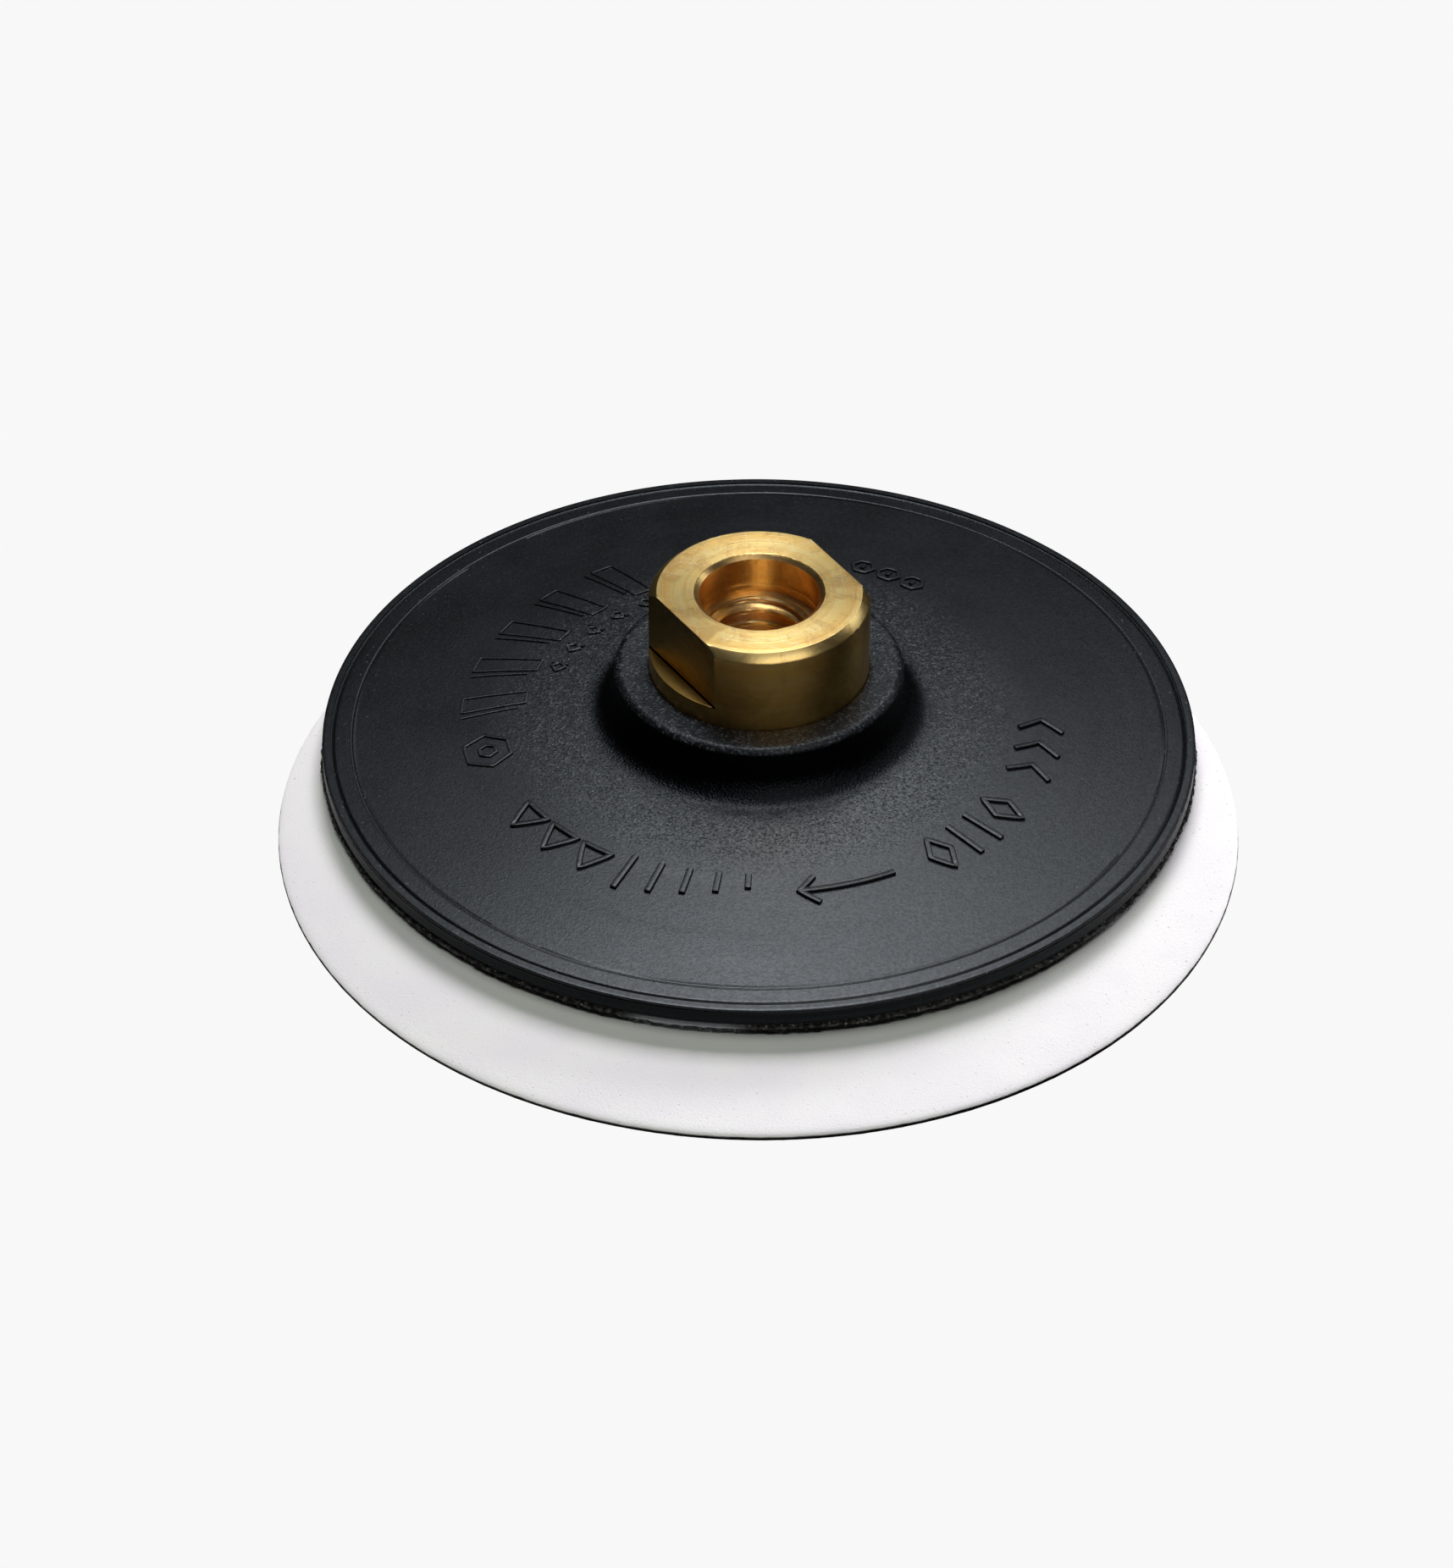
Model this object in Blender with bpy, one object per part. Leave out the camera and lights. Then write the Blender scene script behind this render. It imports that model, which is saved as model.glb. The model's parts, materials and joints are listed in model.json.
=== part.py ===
"""Hook-and-loop backing pad, 115 mm, with a loop-backed abrasive disc lying under it.

The pad is a black moulded plate around a turned brass hub with an M14 thread. Hook facing is
glued to its underside. The disc is a laminate of loop fabric, glue, backing and abrasive coat.
It is a little larger than the pad, and it lies off centre, towards -Y.

Frame: origin on the spindle axis, in the plane of the abrasive face, +Z up along the hub.
Run it with blender --background --python part.py, or from the text editor.
"""
import math

import bmesh
import bpy
from mathutils import Matrix, Vector

MM = 0.001

# Abrasive disc: layers from the abrasive face upwards
DISC_RADIUS = 62.5 * MM
LOOP_RADIUS = 62.15 * MM
DISC_OFFSET_Y = -14.4 * MM
ABRASIVE_THICK = 0.30 * MM
BACKING_THICK = 0.25 * MM
LOOP_GLUE_THICK = 0.08 * MM
LOOP_THICK = 0.38 * MM
LAYER_GAP = 0.03 * MM

# Hook facing and its glue
FACING_GAP = 0.05 * MM
FACING_RADIUS = 57.95 * MM
FACING_HOLE_RADIUS = 7.8 * MM
HOOK_THICK = 0.95 * MM
FACING_GLUE_THICK = 0.15 * MM
FACING_GLUE_RADIUS = 57.2 * MM

# Backing plate
PAD_RADIUS = 57.5 * MM
PLATE_HOLE_RADIUS = 7.3 * MM
PLATE_BASE_CHAMFER = 0.3 * MM
RIM_SHOULDER_Z = 4.45 * MM
BEAD_RADIUS = 0.65 * MM
BEAD_GROOVE_RADIUS = 56.06 * MM
BEAD_GROOVE_Z = 4.58 * MM
CONE_OUTER_RADIUS = 55.8 * MM
CONE_OUTER_Z = 4.64 * MM
CONE_SLOPE = 0.11
BOSS_RADIUS = 19.0 * MM
BOSS_TOP_Z = 15.55 * MM
BOSS_EDGE_ROUND = 1.1 * MM
BOSS_FILLET = 3.6 * MM

# Hub insert
HUB_RADIUS = 14.4 * MM
HUB_BOTTOM_Z = 5.2 * MM
HUB_TOP_Z = 27.1 * MM
HUB_CHAMFER = 1.0 * MM
HUB_EDGE_CHAMFER = 0.5 * MM
FLAT_HALF_WIDTH = 12.0 * MM
FLAT_ANGLE = math.radians(213.0)
FLAT_BOTTOM_Z = 18.1 * MM
NECK_RADIUS = 12.6 * MM
NECK_TOP_Z = 12.5 * MM
FLANGE_RADIUS = 15.6 * MM
FLANGE_TOP_Z = 10.6 * MM
FLANGE_BOTTOM_Z = 8.0 * MM
FLANGE_LOBES = 12
FLANGE_LOBE_HEIGHT = 0.6 * MM
MOULD_GAP = 0.3 * MM

# Hub bore: counterbore with an edge chamfer, then the M14 x 2 thread to the bottom
LIP_RADIUS = 8.66 * MM
LIP_DEPTH = 0.7 * MM
COUNTERBORE_RADIUS = 7.75 * MM
COUNTERBORE_FLOOR_Z = 21.4 * MM
THREAD_PITCH = 2.0 * MM
THREAD_MINOR_RADIUS = 5.92 * MM
THREAD_MAJOR_RADIUS = 7.0 * MM
THREAD_ENTRY = 1.2 * MM
THREAD_CREST = 0.25 / 2
THREAD_ROOT = 0.5 - 0.125 / 2

# Facets
HUB_SEGMENTS = 48
PLATE_SEGMENTS = 72
DISC_SEGMENTS = 96
ROWS_PER_PITCH = 6
ARC_STEPS = 4
SHARP_ANGLE = math.radians(35.0)

# Heights that follow from the stack of layers
BACKING_Z = ABRASIVE_THICK + LAYER_GAP
LOOP_GLUE_Z = BACKING_Z + BACKING_THICK + LAYER_GAP
LOOP_Z = LOOP_GLUE_Z + LOOP_GLUE_THICK + LAYER_GAP
HOOK_Z = LOOP_Z + LOOP_THICK + FACING_GAP
FACING_GLUE_Z = HOOK_Z + HOOK_THICK + FACING_GAP
PLATE_Z = FACING_GLUE_Z + FACING_GLUE_THICK + FACING_GAP


def clear_scene():
    for item in list(bpy.data.objects):
        bpy.data.objects.remove(item, do_unlink=True)


def material(name, colour, roughness, metallic=0.0):
    """A plain Principled material with the part's colour, roughness and metallic value."""
    finish = bpy.data.materials.new(name)
    finish.use_nodes = True
    shader = finish.node_tree.nodes["Principled BSDF"]
    shader.inputs["Base Color"].default_value = (*colour, 1.0)
    shader.inputs["Roughness"].default_value = roughness
    shader.inputs["Metallic"].default_value = metallic
    return finish


def add_part(name, bm, finish):
    """Make an object from a finished bmesh, with outward faces and smooth round sides."""
    bmesh.ops.recalc_face_normals(bm, faces=bm.faces)
    mesh = bpy.data.meshes.new(name)
    bm.to_mesh(mesh)
    bm.free()
    mesh.materials.append(finish)
    mesh.shade_smooth()
    mesh.set_sharp_from_angle(angle=SHARP_ANGLE)
    part = bpy.data.objects.new(name, mesh)
    bpy.context.scene.collection.objects.link(part)
    return part


def arc(centre, radius, start, end, steps=ARC_STEPS):
    """Points of a profile's round stretch, between two angles in degrees."""
    angles = [math.radians(start + (end - start) * i / steps) for i in range(steps + 1)]
    return [(centre[0] + radius * math.cos(a), centre[1] + radius * math.sin(a)) for a in angles]


def turned_ring(rows, segments):
    """A closed ring from rows of (radius, height), where radius may be a function of the angle.

    The rows run once round the ring's section, and the last row joins the first.
    """
    bm = bmesh.new()
    angles = [2 * math.pi * i / segments for i in range(segments)]
    rings = []
    for radius, height in rows:
        size = radius if callable(radius) else (lambda angle, fixed=radius: fixed)
        rings.append([
            bm.verts.new((size(a) * math.cos(a), size(a) * math.sin(a), height)) for a in angles
        ])
    for row, upper in enumerate(rings):
        lower = rings[row - 1]
        for i in range(segments):
            j = (i + 1) % segments
            bm.faces.new((lower[i], lower[j], upper[j], upper[i]))
    return bm


def round_plate(radius, base, thickness):
    """A plain round layer of the disc, placed at the disc's own centre."""
    bm = bmesh.new()
    centre = Matrix.Translation(Vector((0.0, DISC_OFFSET_Y, base + thickness / 2)))
    bmesh.ops.create_cone(
        bm, cap_ends=True, segments=DISC_SEGMENTS, radius1=radius, radius2=radius,
        depth=thickness, matrix=centre,
    )
    return bm


def washer(inner, outer, base, thickness):
    """A flat ring on the spindle axis."""
    top = base + thickness
    return turned_ring([(outer, base), (outer, top), (inner, top), (inner, base)], PLATE_SEGMENTS)


def lobed(radius):
    """Radius of the hub's flange, whose lobes stop the hub turning in the plate."""
    return lambda angle: radius + FLANGE_LOBE_HEIGHT * math.cos(FLANGE_LOBES * angle)


def thread_radius(angle, height):
    """Wall radius of the right-hand thread, with flat crests and roots and 60 degree flanks."""
    turn = (height / THREAD_PITCH - angle / (2 * math.pi)) % 1.0
    from_crest = min(turn, 1.0 - turn)
    share = (from_crest - THREAD_CREST) / (THREAD_ROOT - THREAD_CREST)
    share = max(0.0, min(1.0, share))
    return THREAD_MINOR_RADIUS + share * (THREAD_MAJOR_RADIUS - THREAD_MINOR_RADIUS)


def thread_rows():
    """Rows of the threaded wall from the counterbore's floor down, with a cone at each end."""
    length = COUNTERBORE_FLOOR_Z - HUB_BOTTOM_Z
    count = round(length / THREAD_PITCH * ROWS_PER_PITCH)
    rows = []
    for i in range(count + 1):
        height = COUNTERBORE_FLOOR_Z - length * i / count
        top_cone = COUNTERBORE_RADIUS - (COUNTERBORE_FLOOR_Z - height)
        bottom_cone = THREAD_MINOR_RADIUS + THREAD_ENTRY - (height - HUB_BOTTOM_Z)
        widest = max(top_cone, bottom_cone)
        rows.append((
            lambda a, h=height, w=widest: max(thread_radius(a, h), w), height,
        ))
    return rows


def hub_insert():
    """Brass hub: round collar, lobed flange held by the plate, counterbore and thread."""
    rows = [
        (NECK_RADIUS, HUB_BOTTOM_Z),
        (NECK_RADIUS, FLANGE_BOTTOM_Z),
        (lobed(FLANGE_RADIUS), FLANGE_BOTTOM_Z),
        (lobed(FLANGE_RADIUS), FLANGE_TOP_Z),
        (NECK_RADIUS, FLANGE_TOP_Z),
        (NECK_RADIUS, NECK_TOP_Z),
        (HUB_RADIUS - HUB_EDGE_CHAMFER, NECK_TOP_Z),
        (HUB_RADIUS, NECK_TOP_Z + HUB_EDGE_CHAMFER),
        (HUB_RADIUS, HUB_TOP_Z - HUB_CHAMFER),
        (HUB_RADIUS - HUB_CHAMFER, HUB_TOP_Z),
        (LIP_RADIUS, HUB_TOP_Z),
        (COUNTERBORE_RADIUS, HUB_TOP_Z - LIP_DEPTH),
    ]
    rows += thread_rows()
    brass = material("brass", (0.78, 0.53, 0.22), 0.32, 1.0)
    hub = add_part("hub_insert", turned_ring(rows, HUB_SEGMENTS), brass)
    for side in (0, 1):
        cut_flat(hub, side)
    return hub


def cut_flat(hub, side):
    """Cut one wrench flat into the hub's upper part. Side 0 is at -X, side 1 opposite."""
    depth, width, height = 8 * MM, 40 * MM, 12 * MM
    bm = bmesh.new()
    bmesh.ops.create_cube(bm, size=1.0)
    bmesh.ops.scale(bm, vec=(depth, width, height), verts=bm.verts)
    middle = Vector((FLAT_HALF_WIDTH + depth / 2, 0.0, FLAT_BOTTOM_Z + height / 2))
    bmesh.ops.translate(bm, vec=middle, verts=bm.verts)
    mesh = bpy.data.meshes.new(f"flat_cutter_{side}")
    bm.to_mesh(mesh)
    bm.free()
    cutter = bpy.data.objects.new(f"flat_cutter_{side}", mesh)
    cutter.rotation_euler.z = FLAT_ANGLE + side * math.pi
    cutter.hide_render = True
    cutter.display_type = "WIRE"
    bpy.context.scene.collection.objects.link(cutter)
    cut = hub.modifiers.new(f"flat_{side}", "BOOLEAN")
    cut.operation = "DIFFERENCE"
    cut.solver = "EXACT"
    cut.object = cutter


def cone_height(radius):
    """Height of the plate's upper face, a shallow cone that rises towards the boss."""
    return CONE_OUTER_Z + CONE_SLOPE * (CONE_OUTER_RADIUS - radius)


def plate_outside():
    """Plate profile from the underside's outer edge over the rim and boss to the hub."""
    bead_centre = (PAD_RADIUS - BEAD_RADIUS, RIM_SHOULDER_Z)
    fillet_radius = BOSS_RADIUS + BOSS_FILLET
    fillet_centre = (fillet_radius, cone_height(fillet_radius) + BOSS_FILLET)
    edge_centre = (BOSS_RADIUS - BOSS_EDGE_ROUND, BOSS_TOP_Z - BOSS_EDGE_ROUND)
    rows = [(PAD_RADIUS - PLATE_BASE_CHAMFER, PLATE_Z), (PAD_RADIUS, PLATE_Z + PLATE_BASE_CHAMFER)]
    rows += arc(bead_centre, BEAD_RADIUS, 0, 120)
    rows += [(BEAD_GROOVE_RADIUS, BEAD_GROOVE_Z), (CONE_OUTER_RADIUS, CONE_OUTER_Z)]
    rows += arc(fillet_centre, BOSS_FILLET, 270, 180)
    rows += arc(edge_centre, BOSS_EDGE_ROUND, 0, 90)
    return rows


def plate_pocket():
    """Plate profile down the pocket that the hub is moulded into, and the hole below it."""
    gap = MOULD_GAP
    return [
        (HUB_RADIUS + gap, BOSS_TOP_Z),
        (HUB_RADIUS + gap, NECK_TOP_Z - gap),
        (NECK_RADIUS + gap, NECK_TOP_Z - gap),
        (NECK_RADIUS + gap, FLANGE_TOP_Z + gap),
        (lobed(FLANGE_RADIUS + gap), FLANGE_TOP_Z + gap),
        (lobed(FLANGE_RADIUS + gap), FLANGE_BOTTOM_Z - gap),
        (NECK_RADIUS + gap, FLANGE_BOTTOM_Z - gap),
        (NECK_RADIUS + gap, HUB_BOTTOM_Z - gap),
        (PLATE_HOLE_RADIUS, HUB_BOTTOM_Z - gap),
        (PLATE_HOLE_RADIUS, PLATE_Z),
    ]


def backing_plate():
    """Black moulded plate with its boss, rim bead and the pocket around the hub."""
    rows = plate_outside() + plate_pocket()
    nylon = material("black_nylon", (0.028, 0.030, 0.033), 0.5)
    return add_part("backing_plate", turned_ring(rows, PLATE_SEGMENTS), nylon)


def pad_facing():
    """Hook facing under the plate, and the glue that holds it."""
    glue = washer(FACING_HOLE_RADIUS, FACING_GLUE_RADIUS, FACING_GLUE_Z, FACING_GLUE_THICK)
    hooks = washer(FACING_HOLE_RADIUS, FACING_RADIUS, HOOK_Z, HOOK_THICK)
    add_part("facing_adhesive", glue, material("facing_glue", (0.09, 0.08, 0.07), 0.6))
    add_part("hook_facing", hooks, material("hook_nylon", (0.05, 0.05, 0.05), 0.7))


def abrasive_disc():
    """The disc's four layers: loop fabric, its glue, the backing and the abrasive coat."""
    layers = [
        ("abrasive_coat", DISC_RADIUS, 0.0, ABRASIVE_THICK, (0.10, 0.07, 0.06), 0.8),
        ("disc_backing", DISC_RADIUS, BACKING_Z, BACKING_THICK, (0.08, 0.085, 0.085), 0.8),
        ("loop_adhesive", LOOP_RADIUS, LOOP_GLUE_Z, LOOP_GLUE_THICK, (0.75, 0.75, 0.72), 0.6),
        ("loop_facing", LOOP_RADIUS, LOOP_Z, LOOP_THICK, (0.86, 0.86, 0.88), 0.9),
    ]
    for name, radius, base, thickness, colour, roughness in layers:
        layer = round_plate(radius, base, thickness)
        add_part(name, layer, material(f"{name}_finish", colour, roughness))


def main():
    clear_scene()
    abrasive_disc()
    pad_facing()
    backing_plate()
    hub_insert()


main()
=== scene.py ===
"""Looks of a hook-and-loop backing pad with a brass hub, lying on a white loop-backed disc.

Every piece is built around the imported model, in metres, +Z up, with the spindle axis at X = Y = 0.
"""
import json
import math

import bpy
import numpy as np
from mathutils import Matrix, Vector

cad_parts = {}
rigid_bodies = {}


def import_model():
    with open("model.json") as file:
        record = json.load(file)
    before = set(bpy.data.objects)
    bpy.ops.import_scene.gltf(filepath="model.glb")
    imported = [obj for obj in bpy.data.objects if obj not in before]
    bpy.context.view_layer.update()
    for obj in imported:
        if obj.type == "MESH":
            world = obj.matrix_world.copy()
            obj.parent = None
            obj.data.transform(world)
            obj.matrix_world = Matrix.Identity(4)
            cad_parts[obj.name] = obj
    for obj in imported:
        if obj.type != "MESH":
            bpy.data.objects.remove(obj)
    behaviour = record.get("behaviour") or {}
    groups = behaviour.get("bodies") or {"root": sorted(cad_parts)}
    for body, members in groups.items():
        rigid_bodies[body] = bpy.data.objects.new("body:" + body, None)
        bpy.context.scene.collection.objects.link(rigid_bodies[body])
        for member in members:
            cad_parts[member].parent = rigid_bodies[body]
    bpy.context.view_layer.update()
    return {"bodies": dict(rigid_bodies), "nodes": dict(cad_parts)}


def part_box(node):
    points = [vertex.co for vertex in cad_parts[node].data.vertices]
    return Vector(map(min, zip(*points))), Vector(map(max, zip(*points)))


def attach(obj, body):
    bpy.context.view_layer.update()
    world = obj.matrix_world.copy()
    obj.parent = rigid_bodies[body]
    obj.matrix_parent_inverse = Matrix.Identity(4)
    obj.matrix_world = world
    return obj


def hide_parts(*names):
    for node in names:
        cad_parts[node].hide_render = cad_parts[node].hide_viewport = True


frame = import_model()

MM = 0.001

# Sizes read from the frame
PLATE_LOW, PLATE_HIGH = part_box("backing_plate")
HUB_LOW, HUB_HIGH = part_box("hub_insert")
HOOK_LOW, HOOK_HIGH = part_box("hook_facing")
LOOP_LOW, LOOP_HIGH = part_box("loop_facing")
PAPER_LOW, PAPER_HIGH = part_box("disc_backing")
GRIT_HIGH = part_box("abrasive_coat")[1]
PAD_RADIUS = PLATE_HIGH.x
FACING_RADIUS = HOOK_HIGH.x
DISC_RADIUS = PAPER_HIGH.x
LOOP_RADIUS = LOOP_HIGH.x
DISC_Y = (PAPER_LOW.y + PAPER_HIGH.y) / 2
BOSS_TOP = PLATE_HIGH.z
HUB_TOP = HUB_HIGH.z
HUB_BOTTOM = HUB_LOW.z

# Plate form, close to the CAD's
PLATE_HOLE = 7.3 * MM
BEAD_CENTRE_Z = 4.45 * MM
RIM_LAND_Z = 4.66 * MM
CONE_RADIUS = 55.8 * MM
CONE_Z = 4.64 * MM
CONE_SLOPE = 0.11
RIM_FALL = 0.2
BOSS_RADIUS = 19.0 * MM
BOSS_EDGE = 1.1 * MM
BOSS_FILLET = 3.6 * MM
PLATE_FOOT = BOSS_RADIUS + BOSS_FILLET
PLATE_DOME = 0.16 * MM
RIM_GROOVES = (  # radius, half width, depth
    (56.08 * MM, 0.17 * MM, 0.17 * MM),
    (53.60 * MM, 0.11 * MM, 0.05 * MM),
)

# Hub form, close to the CAD's
HUB_RADIUS = 14.4 * MM
HUB_CHAMFER = 1.0 * MM
FLAT_HALF_WIDTH = 12.0 * MM
FLAT_ANGLE = math.radians(213.0)
FLAT_BOTTOM = 18.1 * MM
NECK_RADIUS = 12.6 * MM
NECK_TOP = 12.5 * MM
FLANGE_RADIUS = 15.6 * MM
FLANGE_TOP = 10.6 * MM
FLANGE_BOTTOM = 8.0 * MM
FLANGE_LOBES = 12
FLANGE_LOBE_HEIGHT = 0.6 * MM
LIP_RADIUS = 8.50 * MM
LIP_DEPTH = 0.55 * MM
BORE_RADIUS = 7.88 * MM
BORE_FLOOR = 21.4 * MM
THREAD_PITCH = 2.0 * MM
THREAD_START = 0.95 * MM
THREAD_MINOR = 5.92 * MM
THREAD_MAJOR = 7.0 * MM
ROWS_PER_TURN = 15

# Hook facing
FACING_HOLE = 7.8 * MM
WEB_THICK = 0.35 * MM
HOOK_SPACING = 1.42 * MM

# Abrasive coat
COAT_UNDERSIDE = 0.15 * MM

# Raised marks on the plate
MARK_RING_MM = 37.1
MARK_HEIGHT = 0.40 * MM
STROKE_STEP_MM = 0.45

# Camera
CAMERA_DISTANCE = 0.7533
CAMERA_ELEVATION = math.radians(37.5)
CAMERA_PIVOT_Z = 4.5 * MM
CAMERA_AIM = Vector((-0.0042, -0.0059, 0.0))
CAMERA_ROLL = math.radians(0.08)
CAMERA_LENS = 131.1

# Lights, floor and finishes
LIGHT_DISTANCE = 1.1
COOL = (0.92, 0.965, 1.0)
BACKDROP = (0.939, 0.939, 0.939, 1)
FLOOR_HALF = 6.0
SCRATCH_TURNS = (0.35, 1.45, 2.6)
TORN_AND_PAINTED_LIGHT_SPOT = (-9.0 * MM, -57.2 * MM, 1.6 * MM)

# Points round each turned piece
PLATE_STEPS = 576
HUB_STEPS = 360
WEB_STEPS = 1080
SHEET_STEPS = 720
COAT_STEPS = 360


# ---------------------------------------------------------------- node helpers


def link_or_set(tree, socket, value):
    if isinstance(value, bpy.types.NodeSocket):
        tree.links.new(value, socket)
    else:
        socket.default_value = value


def add_node(tree, kind, inputs=None, **settings):
    """Add a node, set its settings, and link or set its inputs by name or index."""
    made = tree.nodes.new(kind)
    for name, value in settings.items():
        setattr(made, name, value)
    for name, value in (inputs or {}).items():
        link_or_set(tree, made.inputs[name], value)
    return made


def math_out(tree, operation, *values, clamp=False):
    made = add_node(tree, "ShaderNodeMath", dict(enumerate(values)), operation=operation)
    made.use_clamp = clamp
    return made.outputs[0]


def times(tree, first, second):
    return math_out(tree, "MULTIPLY", first, second)


def inverse(tree, mask):
    return math_out(tree, "SUBTRACT", 1.0, mask)


def per_size(tree, size):
    """Texture scale that gives features of a size in metres."""
    return math_out(tree, "DIVIDE", 1.0, size)


def smooth_range(tree, value, low, high, to_low=0.0, to_high=1.0):
    """Value mapped from low..high to to_low..to_high, with soft ends."""
    made = add_node(
        tree, "ShaderNodeMapRange",
        {"Value": value, "From Min": low, "From Max": high, "To Min": to_low, "To Max": to_high},
        interpolation_type="SMOOTHSTEP",
    )
    return made.outputs["Result"]


def mix_colour(tree, factor, first, second):
    made = add_node(tree, "ShaderNodeMix", {0: factor, 6: first, 7: second}, data_type="RGBA")
    return made.outputs[2]


def mix_value(tree, factor, first, second):
    made = add_node(tree, "ShaderNodeMix", {0: factor, 2: first, 3: second}, data_type="FLOAT")
    return made.outputs[0]


def lay_over(tree, base, *layers):
    """Lay colours over a base, each as (mask, strength, colour)."""
    for mask, strength, colour in layers:
        base = mix_colour(tree, times(tree, mask, strength), base, colour)
    return base


def noise(tree, vector, scale, detail, **inputs):
    values = {"Vector": vector, "Scale": scale, "Detail": detail, **inputs}
    return add_node(tree, "ShaderNodeTexNoise", values).outputs["Fac"]


def noise_along(tree, distance, detail, **inputs):
    """Noise that changes along one distance only."""
    values = {"W": distance, "Scale": 1.0, "Detail": detail, **inputs}
    return add_node(tree, "ShaderNodeTexNoise", values, noise_dimensions="1D").outputs["Fac"]


def new_group(name, inputs, outputs):
    """An empty shader group of float sockets, with its entry and exit nodes."""
    tree = bpy.data.node_groups.new(name, "ShaderNodeTree")
    for title, value in inputs.items():
        socket = tree.interface.new_socket(title, in_out="INPUT", socket_type="NodeSocketFloat")
        socket.default_value = value
    for title in outputs:
        tree.interface.new_socket(title, in_out="OUTPUT", socket_type="NodeSocketFloat")
    return tree, tree.nodes.new("NodeGroupInput").outputs, tree.nodes.new("NodeGroupOutput").inputs


def object_point(tree):
    return tree.nodes.new("ShaderNodeTexCoord").outputs["Object"]


def split_point(tree, point):
    return add_node(tree, "ShaderNodeSeparateXYZ", {0: point}).outputs


def axis_radius(tree, point):
    """Distance of a point from the spindle axis."""
    flat = add_node(tree, "ShaderNodeVectorMath", {0: point, 1: (1.0, 1.0, 0.0)}, operation="MULTIPLY")
    length = add_node(tree, "ShaderNodeVectorMath", {0: flat.outputs[0]}, operation="LENGTH")
    return length.outputs["Value"]


# ---------------------------------------------------------------- shared effects


def zone_effect():
    """Mask that rises from 0 to 1 between two distances from the spindle axis."""
    tree, enter, leave = new_group("ring_zone", {"Inner": 0.01, "Outer": 0.02}, ["Mask"])
    radius = axis_radius(tree, object_point(tree))
    tree.links.new(smooth_range(tree, radius, enter["Inner"], enter["Outer"]), leave["Mask"])
    return tree


def level_effect():
    """Mask that rises from 0 to 1 between two heights."""
    tree, enter, leave = new_group("level_zone", {"Low": 0.01, "High": 0.02}, ["Mask"])
    height = split_point(tree, object_point(tree))["Z"]
    tree.links.new(smooth_range(tree, height, enter["Low"], enter["High"]), leave["Mask"])
    return tree


def grain_effect():
    """Grain of a spark-eroded mould: fine pits, coarser cells, bright cells painted as glints and a slow
    mottling.
    """
    sizes = {"Cell": 0.0003, "Mottle": 0.006}
    tree, enter, leave = new_group("mould_grain", sizes, ["Height", "Tone", "Painted Glint"])
    point = object_point(tree)
    scale = per_size(tree, enter["Cell"])
    cells = add_node(tree, "ShaderNodeTexVoronoi", {"Vector": point, "Scale": scale, "Randomness": 1.0})
    pits = noise(tree, point, times(tree, scale, 0.6), 4.0, Roughness=0.65)
    height = math_out(tree, "ADD", cells.outputs["Distance"], pits)
    tree.links.new(times(tree, height, 0.5), leave["Height"])
    # Painted glint: a few bright cells, for laying into a base colour as glints.
    shade = add_node(tree, "ShaderNodeSeparateColor", {0: cells.outputs["Color"]})
    tree.links.new(math_out(tree, "POWER", shade.outputs[0], 6.0), leave["Painted Glint"])
    tree.links.new(noise(tree, point, per_size(tree, enter["Mottle"]), 3.0), leave["Tone"])
    return tree


def turning_effect():
    """Rings that a lathe tool leaves, uneven in depth from ring to ring and round each ring."""
    tree, enter, leave = new_group("lathe_rings", {"Pitch": 0.0003, "Patch": 0.003}, ["Height", "Tone"])
    point = object_point(tree)
    climb = times(tree, split_point(tree, point)["Z"], 0.83)
    travel = math_out(tree, "ADD", axis_radius(tree, point), climb)
    turns = math_out(tree, "DIVIDE", travel, enter["Pitch"])
    rings = noise_along(tree, turns, 3.0, Roughness=0.7)
    patch = noise(tree, point, per_size(tree, enter["Patch"]), 2.0)
    depth = smooth_range(tree, patch, 0.3, 0.7, 0.35, 1.0)
    tree.links.new(times(tree, rings, depth), leave["Height"])
    tree.links.new(noise_along(tree, times(tree, turns, 0.22), 2.0), leave["Tone"])
    return tree


def fleck_effect():
    """Scattered specks, such as dust and lint. Share is the part of the cells that has one."""
    tree, enter, leave = new_group("flecks", {"Cell": 0.001, "Share": 0.2, "Size": 0.2}, ["Mask"])
    scale = per_size(tree, enter["Cell"])
    cells = add_node(tree, "ShaderNodeTexVoronoi", {"Vector": object_point(tree), "Scale": scale})
    inside = math_out(tree, "LESS_THAN", cells.outputs["Distance"], enter["Size"])
    colour = add_node(tree, "ShaderNodeSeparateColor", {0: cells.outputs["Color"]})
    chosen = math_out(tree, "LESS_THAN", colour.outputs[0], enter["Share"])
    tree.links.new(times(tree, inside, chosen), leave["Mask"])
    return tree


def stain_effect():
    """Irregular blotches, such as tarnish and handling marks."""
    tree, enter, leave = new_group("stains", {"Size": 0.004, "Amount": 0.5}, ["Mask"])
    scale = per_size(tree, enter["Size"])
    large = noise(tree, object_point(tree), scale, 6.0, Roughness=0.68, Distortion=0.9)
    start = math_out(tree, "SUBTRACT", 0.78, times(tree, enter["Amount"], 0.4))
    tree.links.new(smooth_range(tree, large, start, math_out(tree, "ADD", start, 0.16)), leave["Mask"])
    return tree


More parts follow.
